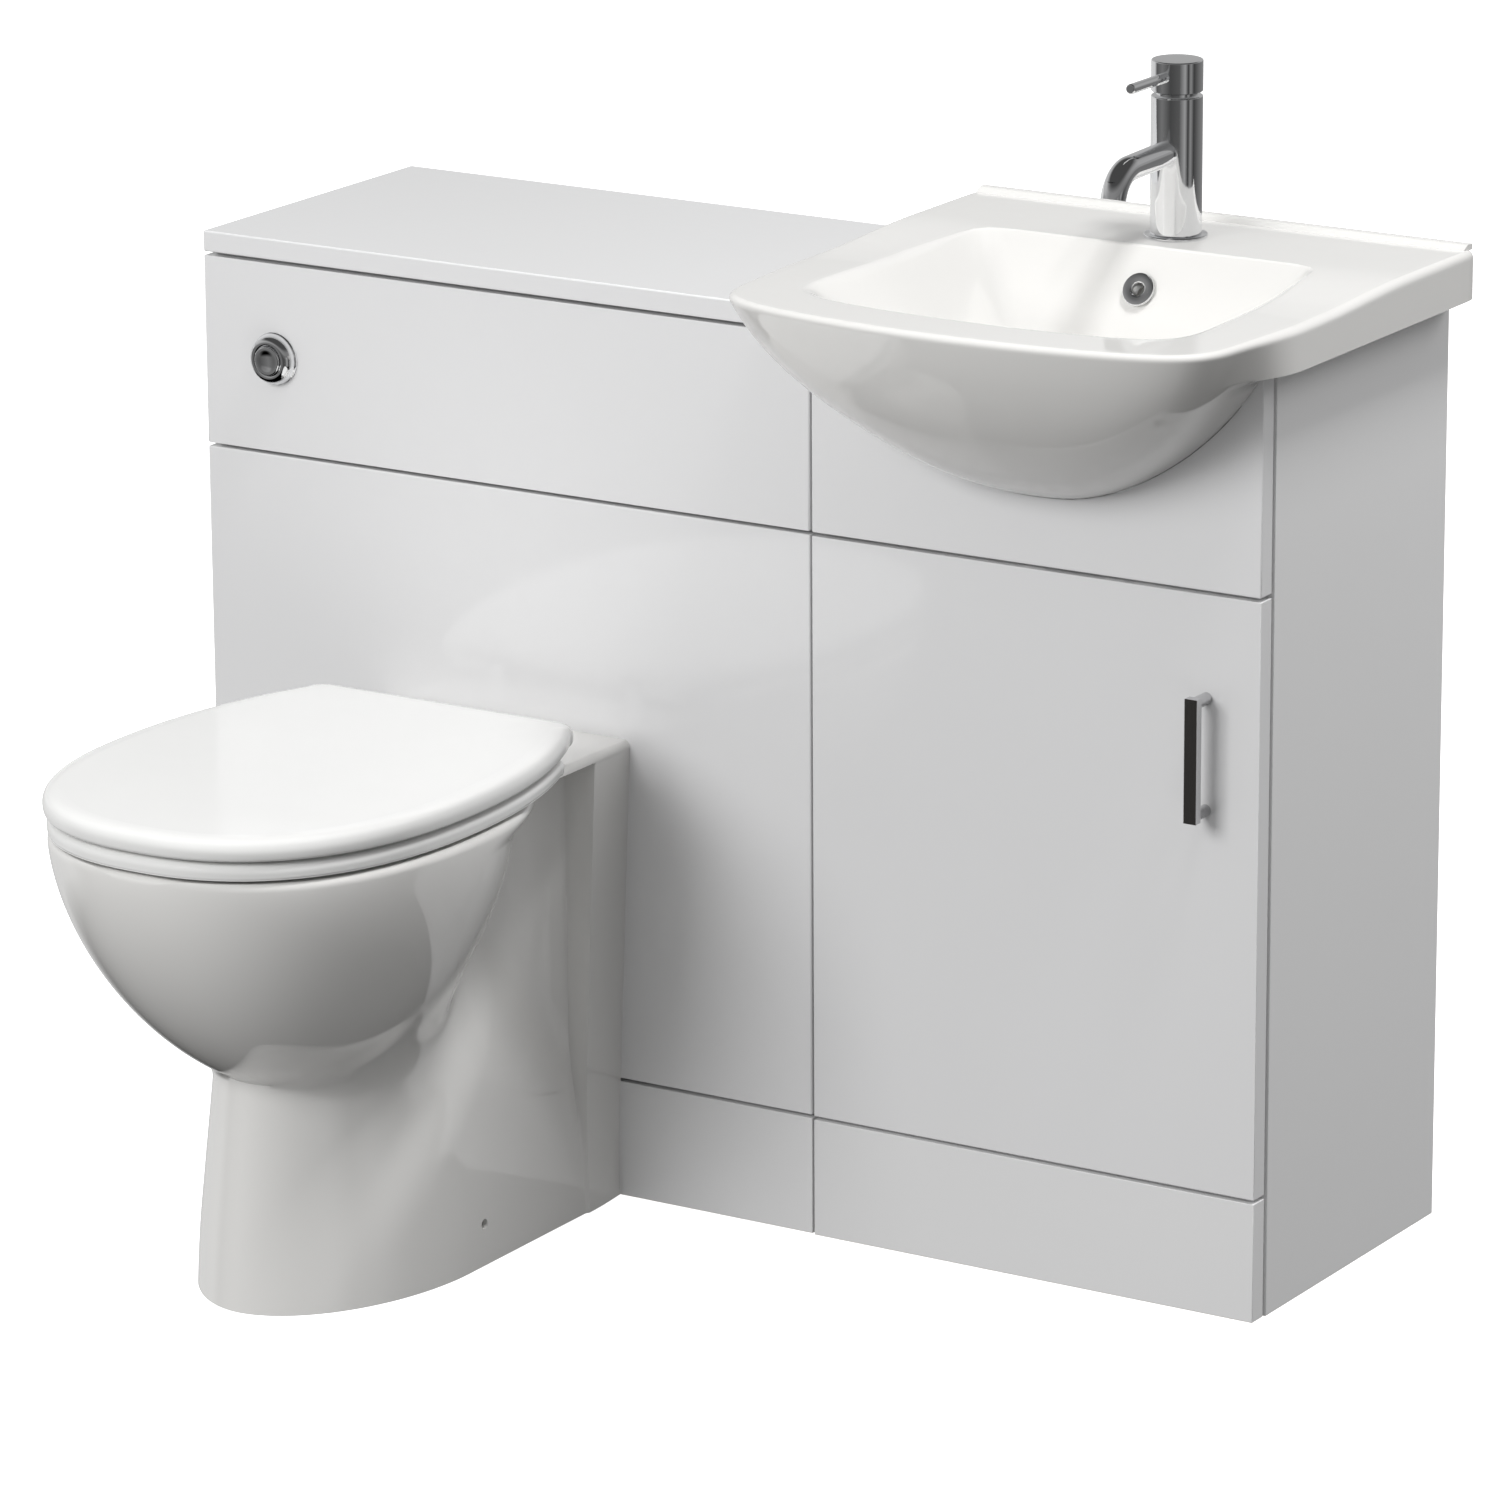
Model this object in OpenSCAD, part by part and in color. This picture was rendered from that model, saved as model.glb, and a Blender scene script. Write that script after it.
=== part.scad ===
// Toilet and basin combination unit: a back-to-wall pan on a cistern cabinet,
// beside a basin cabinet with one door. Millimetres, +Z up, +Y towards the wall.
// Each module is drawn with X from the unit's left side, Y from the front faces and
// Z from the floor; placed() then puts the middle of the footprint on the origin.

/* [Cabinets] */
// Width of the toilet cabinet
wc_w = 600; // [560:10:700]
// Width of the basin cabinet
van_w = 415; // [400:5:500]
// Depth of both cabinets, from the front faces to the wall
unit_d = 310; // [300:5:380]
// Height of the toilet cabinet under its worktop
carcass_h = 766; // [760:2:840]
// Height of the plinth line
plinth_h = 102; // [80:2:120]
// Height of the joint between the lower and the upper fronts
split_h = 599.5; // [580:0.5:620]
// Thickness of the sides, base and rails
board_t = 18; // [15:1:20]
// Thickness of the fronts and the plinth
front_t = 18; // [16:1:20]
// Thickness of the worktop
worktop_t = 18; // [16:1:25]
// Gap between neighbouring fronts
front_gap = 3; // [2:0.5:4]
// How far the basin cabinet's fronts stand proud of the toilet cabinet's
proud = 2; // [1:0.5:3]
// Height of the vertical back rails
rail_h = 90; // [70:5:100]
// Height of the front cross rails
cross_h = 44; // [30:2:50]
// Diameter of the holes for the wall screws
wall_hole_d = 6; // [5:0.5:8]
// Distance between the two wall screws of a cabinet
wall_hole_pitch = 320; // [200:10:340]

/* [Door] */
// Widest swing of the door, in degrees
door_swing = 100; // [90:1:110]
// Diameter of the hinge cups
cup_d = 35; // [26:1:40]
// Depth of the hinge cups
cup_depth = 11.5; // [10:0.5:13]
// Distance of the hinges from the door's ends
hinge_inset = 90; // [60:5:120]
// Length of the bar handle
handle_len = 102; // [90:2:160]
// Width of the bar handle
handle_w = 11; // [8:0.5:16]
// Depth of the bar itself
handle_t = 8; // [5:0.5:10]
// How far the bar's face stands off the door
handle_stand = 26; // [22:1:40]
// Distance between the handle's two posts
handle_pitch = 92; // [76:2:96]
// Height of the handle's middle
handle_z = 468; // [440:1:520]
// Distance of the handle from the door's free edge
handle_edge = 47.5; // [35:0.5:60]

/* [Cistern] */
// Width of the cistern
tank_w = 380; // [340:10:400]
// Depth of the cistern
tank_d = 150; // [140:5:160]
// Height of the cistern's body
tank_h = 295; // [260:5:300]
// Height of the cistern's floor
tank_z = 430; // [425:5:440]
// Wall of the cistern
tank_wall = 4; // [3:0.5:5]
// Outside diameter of the flush pipe
flush_pipe_d = 38; // [34:1:40]
// Height of the flush pipe's end and of the pan's inlet
inlet_z = 345; // [335:5:350]
// Travel of the filling valve's float
float_travel = 140; // [100:10:150]
// Lift of the flush valve
flush_lift = 24; // [15:1:25]
// Outside diameter of the flush button's bezel
bezel_d = 45; // [42:1:52]
// Diameter of the flush button
button_d = 25; // [22:1:28]
// Travel of the flush button
button_travel = 6; // [4:0.5:7]
// Distance of the button from the cabinet's left side
button_x = 72; // [60:1:100]
// Height of the button
button_z = 682; // [650:1:710]

/* [Pan] */
// Width of the bowl at the rim
pan_w = 350; // [330:2:370]
// Height of the rim
pan_h = 400; // [390:2:420]
// How far the bowl stands out from the front
pan_proj = 523; // [500:1:560]
// How far the foot stands out from the front
foot_proj = 402; // [380:1:420]
// Width of the foot
foot_w = 220; // [200:2:230]
// Width of the pan's back at the rim
back_w = 246; // [230:2:260]
// Width of the pan's back at the floor
back_foot_w = 212; // [200:2:230]
// Height of the soil outlet's middle
soil_z = 180; // [175:1:190]
// Outside diameter of the soil pipe
soil_d = 110; // [100:1:110]
// Thickness of the seat ring
seat_t = 14; // [12:1:16]
// Thickness of the lid
lid_t = 18; // [16:1:20]
// Distance between the two hinge posts
hinge_pitch = 140; // [130:5:145]
// Widest opening of the lid, in degrees
lid_swing = 96; // [90:1:97]

/* [Basin] */
// Width of the basin
basin_w = 464; // [450:2:500]
// How far the basin stands out from the cabinet's front
basin_proj = 163; // [150:1:180]
// Thickness of the basin's flat edge
basin_edge = 36; // [30:1:45]
// Height of the raised lip along the wall
lip_h = 4; // [2:0.5:8]
// Width of the bowl at the rim
bowl_w = 352; // [320:2:370]
// Depth of the bowl
bowl_depth = 128; // [110:2:130]
// Diameter of the tap hole
tap_hole_d = 35; // [32:1:36]
// Distance of the tap from the wall
tap_inset = 82; // [80:1:86]
// Diameter of the overflow ring
overflow_d = 28; // [24:1:32]

/* [Tap] */
// Diameter of the tap's body
tap_d = 42.4; // [38:0.2:46]
// Height of the tap, over the deck
tap_h = 146; // [130:1:170]
// Reach of the spout, from the tap's axis
spout_reach = 104; // [80:1:115]
// Outside diameter of the spout
spout_d = 21; // [18:0.5:24]
// Height of the spout's root over the deck
spout_z = 72; // [60:1:80]
// Length of the lever, from the tap's axis
lever_len = 77.5; // [60:0.5:90]
// Diameter of the lever
lever_d = 8.6; // [7:0.2:10]

/* [Waste] */
// Outside diameter of the waste pipe
waste_pipe_d = 32; // [32:1:40]
// Height of the waste pipe at the wall
waste_z = 520; // [500:5:540]
// Outside diameter of the supply pipes
supply_d = 15; // [12:1:15]
// Distance between the basin's two supply pipes
supply_pitch = 120; // [100:5:150]

/* [Hidden] */

// Gaps: parts that move past each other, shafts in their holes, and overshoot of a cut
clear = 0.3;
run_fit = 0.06;
eps = 1;
$fn = 64;

// Heights and lines of the cabinets
top_z = carcass_h + worktop_t;
gap_h = front_gap / 2;
van_x0 = wc_w;
van_x1 = wc_w + van_w;
van_mid = (van_x0 + van_x1) / 2;
van_in0 = van_x0 + board_t;
van_in1 = van_x1 - board_t;
wc_in0 = board_t;
wc_in1 = wc_w - board_t;
wc_mid = wc_w / 2;
van_front_y = -proud;
van_back_y = front_t - proud;
carcass_y = front_t;
rail_y = unit_d - board_t;
base_top = plinth_h + board_t;

// Colours
white_board = [0.93, 0.93, 0.93];
ceramic = [0.95, 0.945, 0.93];
plastic = [0.96, 0.96, 0.96];
grey_plastic = [0.55, 0.57, 0.6];
rubber = [0.15, 0.15, 0.15];
chrome = [0.75, 0.76, 0.78];
steel = [0.6, 0.6, 0.62];
copper = [0.72, 0.45, 0.2];

// ---------------------------------------------------------------- shared shapes

function sgn(v) = v < 0 ? -1 : 1;
function sstep(t) = let (u = min(1, max(0, t))) u * u * (3 - 2 * u);
function mix(a, b, f) = a + (b - a) * f;
// power curve that keeps the sign, for superellipses
function spow(v, p) = sgn(v) * pow(abs(v), p);
// quarter of a superellipse: half width left at the share d of its length
function arch(d, n) = pow(max(0, 1 - pow(min(1, abs(d)), n)), 1 / n);
// smooth maximum, with a blend of k that dies away where both are small
function smax(a, b, k) =
  let (kk = max(0.01, min(k, 0.7 * max(a, b))), h = max(kk - abs(a - b), 0) / kk)
  max(a, b) + h * h * kk / 4;
function lift(ring, z) = [for (p = ring) [p[0], p[1], z]];

// board from one corner to the other
module slab(x0, x1, y0, y1, z0, z1) {
  translate([x0, y0, z0]) cube([x1 - x0, y1 - y0, z1 - z0]);
}

// cylinder along Y, from y0 to y1
module rod_y(x, z, y0, y1, r) {
  translate([x, y1, z]) rotate([90, 0, 0]) cylinder(h = y1 - y0, r = r);
}

// cylinder along X, from x0 to x1
module rod_x(y, z, x0, x1, r) {
  translate([x0, y, z]) rotate([0, 90, 0]) cylinder(h = x1 - x0, r = r);
}

// cylinder along Z, from z0 to z1
module rod_z(x, y, z0, z1, r) {
  translate([x, y, z0]) cylinder(h = z1 - z0, r = r);
}

// tube along Z
module tube_z(x, y, z0, z1, ro, ri) {
  difference() {
    rod_z(x, y, z0, z1, ro);
    rod_z(x, y, z0 - eps, z1 + eps, ri);
  }
}

// tube along Y
module tube_y(x, z, y0, y1, ro, ri) {
  difference() {
    rod_y(x, z, y0, y1, ro);
    rod_y(x, z, y0 - eps, y1 + eps, ri);
  }
}

// upright block with rounded vertical edges
module round_block(x0, x1, y0, y1, z0, z1, r) {
  translate([x0, y0, z0]) linear_extrude(z1 - z0) union() {
    translate([r, 0]) square([x1 - x0 - 2 * r, y1 - y0]);
    translate([0, r]) square([x1 - x0, y1 - y0 - 2 * r]);
    for (cx = [r, x1 - x0 - r], cy = [r, y1 - y0 - r]) translate([cx, cy]) circle(r);
  }
}

// skin over rings of equal count, from the bottom ring to the top one
module loft(rings) {
  n = len(rings[0]);
  k = len(rings);
  sides = [
    for (j = [0 : k - 2], i = [0 : n - 1]) let (a = j * n + i, b = j * n + (i + 1) % n)
      [a, a + n, b + n, b]
  ];
  bottom = [for (i = [0 : n - 1]) i];
  top = [for (i = [0 : n - 1]) k * n - 1 - i];
  polyhedron(points = [for (r = rings, p = r) p], faces = concat(sides, [bottom, top]));
}

// closed skin whose last ring joins the first one, as on a seat
module ring_loft(rings) {
  n = len(rings[0]);
  k = len(rings);
  polyhedron(
    points = [for (r = rings, p = r) p],
    faces = [
      for (j = [0 : k - 1], i = [0 : n - 1])
        let (a = j * n + i, b = j * n + (i + 1) % n, up = ((j + 1) % k - j) * n)
          [a, a + up, b + up, b]
    ]
  );
}

// curve through points, as a Catmull-Rom spline
function spline_at(p, i, t) =
  let (
    n = len(p) - 1, a = p[max(0, i - 1)], b = p[i], c = p[min(n, i + 1)], d = p[min(n, i + 2)]
  )
  0.5 * (2 * b + (c - a) * t + (2 * a - 5 * b + 4 * c - d) * t * t
    + (3 * b - a - 3 * c + d) * t * t * t);
function spline(p, steps) = concat(
  [for (i = [0 : len(p) - 2], s = [0 : steps - 1]) spline_at(p, i, s / steps)],
  [p[len(p) - 1]]
);
function unit(v) = v / norm(v);

// hose along a path; its sides are laid out from a direction that no path follows
module hose(path, r) {
  sides = 8;
  aside = [-1, 1, 1];
  last = len(path) - 1;
  rings = [
    for (i = [0 : last])
      let (
        dir = unit(path[min(last, i + 1)] - path[max(0, i - 1)]),
        u = unit(cross(aside, dir)),
        v = cross(dir, u)
      )
      [for (s = [0 : sides - 1]) path[i] + r * (u * cos(360 * s / sides) + v * sin(360 * s / sides))]
  ];
  loft(rings);
}

// ------------------------------------------------------------- toilet cabinet

module wc_side_left() {
  color(white_board) slab(0, board_t, carcass_y, unit_d, 0, carcass_h);
}

module wc_side_right() {
  color(white_board) slab(wc_in1, wc_w, carcass_y, unit_d, 0, carcass_h);
}

// pair of wall-screw holes through a back rail
module wall_holes(mid_x, z) {
  for (s = [-1, 1])
    rod_y(mid_x + s * wall_hole_pitch / 2, z, rail_y - eps, unit_d + eps, wall_hole_d / 2);
}

wall_hole_z = carcass_h - 16;
mid_rail_z = tank_z - 10;
module wc_back_rails() {
  color(white_board) difference() {
    union() {
      slab(wc_in0, wc_in1, rail_y, unit_d, carcass_h - rail_h, carcass_h);
      slab(wc_in0, wc_in1, rail_y, unit_d, mid_rail_z, mid_rail_z + rail_h);
      slab(wc_in0, wc_in1, rail_y, unit_d, 20, 20 + rail_h);
    }
    wall_holes(wc_mid, wall_hole_z);
    for (s = [-1, 1]) rod_y(wc_mid + s * tank_screw_x, tank_screw_z, rail_y - eps, unit_d + eps, screw_r);
  }
}

// cross rails behind the fronts: under the worktop, at the joint of the fronts, at the plinth
top_rail_d = 80;
module wc_front_rails() {
  color(white_board) union() {
    slab(wc_in0, wc_in1, carcass_y, carcass_y + top_rail_d, carcass_h - board_t, carcass_h);
    slab(wc_in0, wc_in1, carcass_y, carcass_y + board_t, split_h - cross_h, split_h + cross_h);
    slab(wc_in0, wc_in1, carcass_y, carcass_y + board_t, plinth_h - cross_h, plinth_h + cross_h / 5);
  }
}

// the button's cylinder passes the upper front in a plain hole
button_neck_r = 18;
module wc_upper_front() {
  color(white_board) difference() {
    slab(0, wc_w - gap_h, 0, front_t, split_h + gap_h, carcass_h - front_gap);
    rod_y(button_x, button_z, -eps, front_t + eps, button_neck_r + clear);
  }
}

soil_hole_r = soil_d / 2 + 10;
inlet_r = 27;
module wc_lower_front() {
  color(white_board) difference() {
    slab(0, wc_w - gap_h, 0, front_t, plinth_h + gap_h, split_h - gap_h);
    rod_y(wc_mid, soil_z, -eps, front_t + eps, soil_hole_r);
    rod_y(wc_mid, inlet_z, -eps, front_t + eps, inlet_r + 6);
  }
}

module wc_plinth() {
  color(white_board) slab(0, wc_w - gap_h, 0, front_t, 0, plinth_h - gap_h);
}

module worktop() {
  color([0.95, 0.95, 0.95]) slab(0, wc_w, 0, unit_d, carcass_h, top_z);
}

// -------------------------------------------------------------------- cistern

tank_x0 = wc_mid - tank_w / 2;
tank_x1 = wc_mid + tank_w / 2;
tank_y1 = rail_y;
tank_y0 = tank_y1 - tank_d;
tank_top = tank_z + tank_h;
valve_y = (tank_y0 + tank_y1) / 2;
fill_x = wc_mid + tank_w / 2 - 60;
tank_floor = tank_z + tank_wall;
tail_r = 29;
tail_wall = 5;
fill_tail_r = 10.4;
screw_r = 2.5;
tank_screw_x = tank_w / 2 - 40;
tank_screw_z = tank_top - 25;
lid_plate = 4;

module cistern_tank() {
  color([0.9, 0.9, 0.9]) difference() {
    round_block(tank_x0, tank_x1, tank_y0, tank_y1, tank_z, tank_top, 16);
    round_block(
      tank_x0 + tank_wall, tank_x1 - tank_wall, tank_y0 + tank_wall, tank_y1 - tank_wall,
      tank_floor, tank_top + eps, 16 - tank_wall
    );
    rod_z(wc_mid, valve_y, tank_z - eps, tank_floor + eps, tail_r);
    rod_z(fill_x, valve_y, tank_z - eps, tank_floor + eps, fill_tail_r);
    for (s = [-1, 1])
      rod_y(wc_mid + s * tank_screw_x, tank_screw_z, tank_y1 - tank_wall - eps, tank_y1 + eps, screw_r);
  }
}

module cistern_lid() {
  lip = tank_wall + clear;
  color([0.92, 0.92, 0.92]) difference() {
    union() {
      round_block(tank_x0, tank_x1, tank_y0, tank_y1, tank_top, tank_top + lid_plate, 16);
      round_block(
        tank_x0 + lip, tank_x1 - lip, tank_y0 + lip, tank_y1 - lip,
        tank_top - 6, tank_top, 16 - lip
      );
    }
    round_block(
      tank_x0 + 2 * lip, tank_x1 - 2 * lip, tank_y0 + 2 * lip, tank_y1 - 2 * lip,
      tank_top - 6 - eps, tank_top, 16 - 2 * lip
    );
    rod_z(bellows_x, valve_y, tank_top - eps, tank_top + lid_plate + eps, hose_r + 2);
  }
}

module cistern_screws() {
  color(steel) for (s = [-1, 1]) {
    x = wc_mid + s * tank_screw_x;
    rod_y(x, tank_screw_z, tank_y1 - tank_wall, unit_d - 3, screw_r);
    rod_y(x, tank_screw_z, tank_y1 - tank_wall - 3, tank_y1 - tank_wall, 2 * screw_r);
  }
}

// tower of the filling valve, with its head, threaded tail and backnut
tower_r = 12;
tower_top = tank_top - 35;
fill_nut_h = 10;
fill_tail_z = tank_z - 36;
module fill_valve() {
  color(plastic) union() {
    rod_z(fill_x, valve_y, tank_floor + 4, tower_top, tower_r);
    rod_z(fill_x, valve_y, tank_floor, tank_floor + 4, 18);
    rod_z(fill_x, valve_y, tower_top, tower_top + 22, 20);
    slab(fill_x - 34, fill_x, valve_y - 6, valve_y + 6, tower_top + 4, tower_top + 14);
    rod_z(fill_x, valve_y, fill_tail_z, tank_floor, fill_tail_r);
    translate([fill_x, valve_y, tank_z - fill_nut_h]) cylinder(h = fill_nut_h, r = 17, $fn = 6);
  }
}

// open-bottomed cup that floats up the tower
cup_r = 28;
float_h = 55;
float_z = tank_floor + 4 + clear;
module float_cup() {
  color(grey_plastic) translate([fill_x, valve_y, float_z]) rotate_extrude() polygon([
    [tower_r + 1, 0], [tower_r + 3, 0], [tower_r + 3, float_h - 3], [cup_r - 2, float_h - 3],
    [cup_r - 2, 0], [cup_r, 0], [cup_r, float_h], [tower_r + 1, float_h]
  ]);
}

// flush valve: tail, seat, caged tube and head with the bellows that the button's air lifts
seat_z = tank_floor + 12;
cage_r = 44;
cage_top = tank_floor + 160;
plunger_r = 14;
bellows_x = wc_mid + 30;
bellows_r = 10;
bellows_top = cage_top + 50;
tail_z = tank_z - 44;
hose_r = 3;
module flush_valve() {
  bore = tail_r - tail_wall;
  color(plastic) difference() {
    union() {
      tube_z(wc_mid, valve_y, tail_z, tank_floor + eps, tail_r, bore);
      tube_z(wc_mid, valve_y, tank_floor, tank_floor + 4, cage_r, bore);
      tube_z(wc_mid, valve_y, tank_floor + 4, seat_z, bore + 4, bore);
      tube_z(wc_mid, valve_y, tank_floor + 4, cage_top, cage_r, cage_r - 3);
      tube_z(wc_mid, valve_y, cage_top, cage_top + 5, cage_r, plunger_r + 1);
      rod_z(bellows_x, valve_y, cage_top + 5, bellows_top, bellows_r);
      rod_z(bellows_x, valve_y, bellows_top, bellows_top + 8, hose_r);
      tube_z(wc_mid, valve_y, tank_z - 12, tank_z, cage_r - 6, tail_r - 0.5);
    }
    for (a = [45 : 90 : 315], row = [0, 1])
      translate([wc_mid, valve_y, tank_floor + 16 + row * 74]) rotate([0, 0, a])
        translate([20, -16, 0]) cube([cage_r, 32, 62]);
  }
}

module flush_plunger() {
  disc_r = tail_r + 3;
  color(grey_plastic) translate([wc_mid, valve_y, seat_z + clear]) union() {
    tube_z(0, 0, 0, cage_top + 40 - seat_z, plunger_r, plunger_r - 2.5);
    tube_z(0, 0, 0, 5, disc_r, plunger_r - 2.5);
  }
}

// flush pipe: a drop from the valve's tail, one bend and a run through the front into the pan
flush_bend = 50;
flush_reach = 40;
module flush_pipe() {
  r = flush_pipe_d / 2;
  bend_z = inlet_z + flush_bend;
  color(plastic) difference() {
    union() {
      translate([wc_mid, valve_y, bend_z]) cylinder(h = max(eps, tail_z - bend_z), r = r);
      tube_z(wc_mid, valve_y, tail_z - 8, tail_z, tail_r + 4, r - 1);
      translate([wc_mid, valve_y - flush_bend, bend_z]) rotate([0, 90, 0])
        rotate_extrude(angle = 90) translate([flush_bend, 0]) circle(r);
      rod_y(wc_mid, inlet_z, -flush_reach, valve_y - flush_bend, r);
    }
    rod_y(wc_mid, inlet_z, -flush_reach - eps, valve_y - flush_bend, r - 2);
    translate([wc_mid, valve_y - flush_bend, bend_z]) rotate([0, 90, 0])
      rotate_extrude(angle = 90) translate([flush_bend, 0]) circle(r - 2);
    translate([wc_mid, valve_y, bend_z]) cylinder(h = 100, r = r - 2);
  }
}

module flush_cone() {
  color(rubber) union() {
    tube_y(wc_mid, inlet_z, -flush_reach + 4, 0, inlet_r - clear, flush_pipe_d / 2);
    tube_y(wc_mid, inlet_z, 0, 7, inlet_r + 4, flush_pipe_d / 2);
  }
}

// air hose from the button's cylinder to the bellows, over the cistern's lid
button_back = 62;
hose_top = tank_top + 15;
hose_path = [
  [button_x, button_back + 8, button_z], [button_x + 4, button_back + 24, button_z + 4],
  [button_x + 30, tank_y0 - 32, mix(button_z, hose_top, 0.6)], [button_x + 80, tank_y0 + 10, hose_top],
  [bellows_x - 90, valve_y + 8, hose_top], [bellows_x - 24, valve_y + 2, hose_top],
  [bellows_x - 4, valve_y, hose_top - 5], [bellows_x, valve_y, tank_top + 2],
  [bellows_x, valve_y, tank_top - 20], [bellows_x, valve_y, bellows_top + 8]
];
module air_hose() {
  color([0.8, 0.85, 0.9]) hose(spline(hose_path, 4), hose_r);
}

// chrome bezel on the front, with a stepped dome and a bore for the button
bezel_h = 12;
bezel_lip = 2;
module button_bezel() {
  r = bezel_d / 2;
  bore = button_d / 2 + clear;
  color(chrome) translate([button_x, 0, button_z]) rotate([90, 0, 0]) difference() {
    rotate_extrude() polygon(concat(
      [[bore, 0], [r, 0], [r, bezel_lip]],
      [for (a = [10 : 10 : 80]) [
        bore + 2 + (r - bore - 3) * cos(a), mix(bezel_lip, bezel_h, sin(a))
      ]],
      [[bore + 1, bezel_h], [bore, bezel_h - 1]]
    ));
  }
}

// button with a dished face, and a stem that carries the piston
button_face = 13.5;
button_back_y = 2;
stem_r = 4;
piston_r = 8.7;
piston_y = 26;
shoulder_y = 16;
module flush_button() {
  r = button_d / 2;
  color(chrome) translate([button_x, 0, button_z]) rotate([90, 0, 0]) rotate_extrude() polygon([
    [0, -piston_y - 4], [piston_r, -piston_y - 4], [piston_r, -piston_y], [stem_r, -piston_y],
    [stem_r, -button_back_y], [r, -button_back_y], [r, button_face - 2], [r - 0.6, button_face - 0.6],
    [r - 2, button_face], [r - 4, button_face - 0.4], [r - 7, button_face - 1.2], [0, button_face - 1.6]
  ]);
}

// coil of the return spring round the stem, between the button and the bore's shoulder
module button_spring() {
  turns = 4;
  steps = 14;
  wire = 0.7;
  coil = (piston_r + button_d / 2 + 2 * clear) / 2;
  y0 = button_back_y + clear + wire;
  rings = [
    for (i = [0 : turns * steps])
      let (a = 360 * i / steps, y = mix(y0, shoulder_y - wire, i / (turns * steps)))
      [for (s = [0 : 5]) let (r = coil + wire * cos(60 * s))
        [button_x + r * cos(a), y + wire * sin(60 * s), button_z - r * sin(a)]]
  ];
  color(steel) loft(rings);
}

// air cylinder behind the front: neck through the hole, flange nut, body and hose nipple
module button_cylinder() {
  neck = button_neck_r;
  color(plastic) difference() {
    union() {
      rod_y(button_x, button_z, 0, button_back, neck);
      rod_y(button_x, button_z, front_t, front_t + 9, neck + 7);
      rod_y(button_x, button_z, button_back, button_back + 8, hose_r);
    }
    rod_y(button_x, button_z, -eps, shoulder_y, button_d / 2 + clear);
    rod_y(button_x, button_z, shoulder_y - eps, button_back - 8, piston_r + clear);
  }
}

// ------------------------------------------------------------------------ pan

bowl_mid = -(pan_proj - 224);
bowl_front = pan_proj + bowl_mid;
bowl_rear = 171;
bowl_curve = 1.67;
bowl_plan = 2.28;
bowl_drop = 235;
rim_z = pan_h - 2;
// share of the bowl's rim size that is left at a height
function bowl_share(z) =
  let (u = min(1, max(0, (rim_z - z) / bowl_drop))) pow(max(0, 1 - pow(u, bowl_curve)), 1 / bowl_curve);
function bowl_half(y, z) =
  let (s = max(0.001, bowl_share(z)), d = (y - bowl_mid) / (s * (y < bowl_mid ? bowl_front : bowl_rear)))
  pan_w / 2 * s * arch(d, y < bowl_mid ? bowl_plan : 2);
foot_turn = -230;
neck_z = 185;
foot_lean = 22;
function foot_tip(z) = -foot_proj + foot_lean * z / neck_z;
function foot_half(y, z) =
  let (half = foot_w / 2 - 19 * sstep(z / 260))
  y > foot_turn ? half : half * arch((y - foot_turn) / (foot_turn - foot_tip(z)), 1.9);
back_flange = 46;
function back_half(y, z) =
  mix(back_foot_w, back_w, z / pan_h) / 2 * (1 - sstep((-y - back_flange + 8) / 60));
function pan_tip(z) = min(bowl_mid - bowl_front * bowl_share(z), foot_tip(z));
function pan_half(y, z) = smax(smax(bowl_half(y, z), foot_half(y, z), 24), back_half(y, z), 24);
front_steps = 10;
rear_steps = 12;
// plan of the pan at a height, inset at the rim's rounding
function pan_ring(z, inset) =
  let (
    tip = pan_tip(min(z, rim_z)) + inset,
    front_y = [for (i = [1 : front_steps]) mix(bowl_mid, tip, cos(90 * i / front_steps))],
    rear_y = [for (i = [1 : rear_steps]) mix(bowl_mid, 0, i / rear_steps)],
    side = [for (y = concat(front_y, rear_y)) [max(1, pan_half(y, min(z, rim_z)) - inset), y]],
    last = len(side) - 1
  )
  [
    for (p = concat(
      [[0, tip]], side, [for (i = [last : -1 : 0]) [-side[i][0], side[i][1]]]
    )) [wc_mid + p[0], p[1], z]
  ];

// the rim and the deck fall a little towards the bowl, so that they drain
deck_fall = 0.5;
function pan_deck(f) = [
  for (p = pan_ring(pan_h, 6.5)) [mix(wc_mid, p[0], f), mix(bowl_mid, p[1], f), pan_h - deck_fall * (1 - f)]
];

// egg outline of the open bowl and of the seat: front superellipse and rear ellipse
function egg(a, front, rear, n, steps) = [
  for (i = [0 : steps - 1]) let (t = 360 * i / steps, c = cos(t), s = sin(t))
    [
      wc_mid + a * spow(c, s < 0 ? 2 / n : 1),
      bowl_mid + (s < 0 ? front * spow(s, 2 / n) : rear * s)
    ]
];
rim_w = 45;
module pan_bowl() {
  a = pan_w / 2 - rim_w;
  levels = [
    [0.30, 205], [0.52, 214], [0.74, 240], [0.88, 280], [0.96, 330], [1, 380], [1.015, 393],
    [1.045, 398.5], [1.045, 401]
  ];
  loft([
    for (l = levels)
      lift(egg(a * l[0], (bowl_front - rim_w) * l[0], (bowl_rear - 38) * l[0], 2.2, 36), l[1] - 400 + pan_h)
  ]);
}

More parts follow.
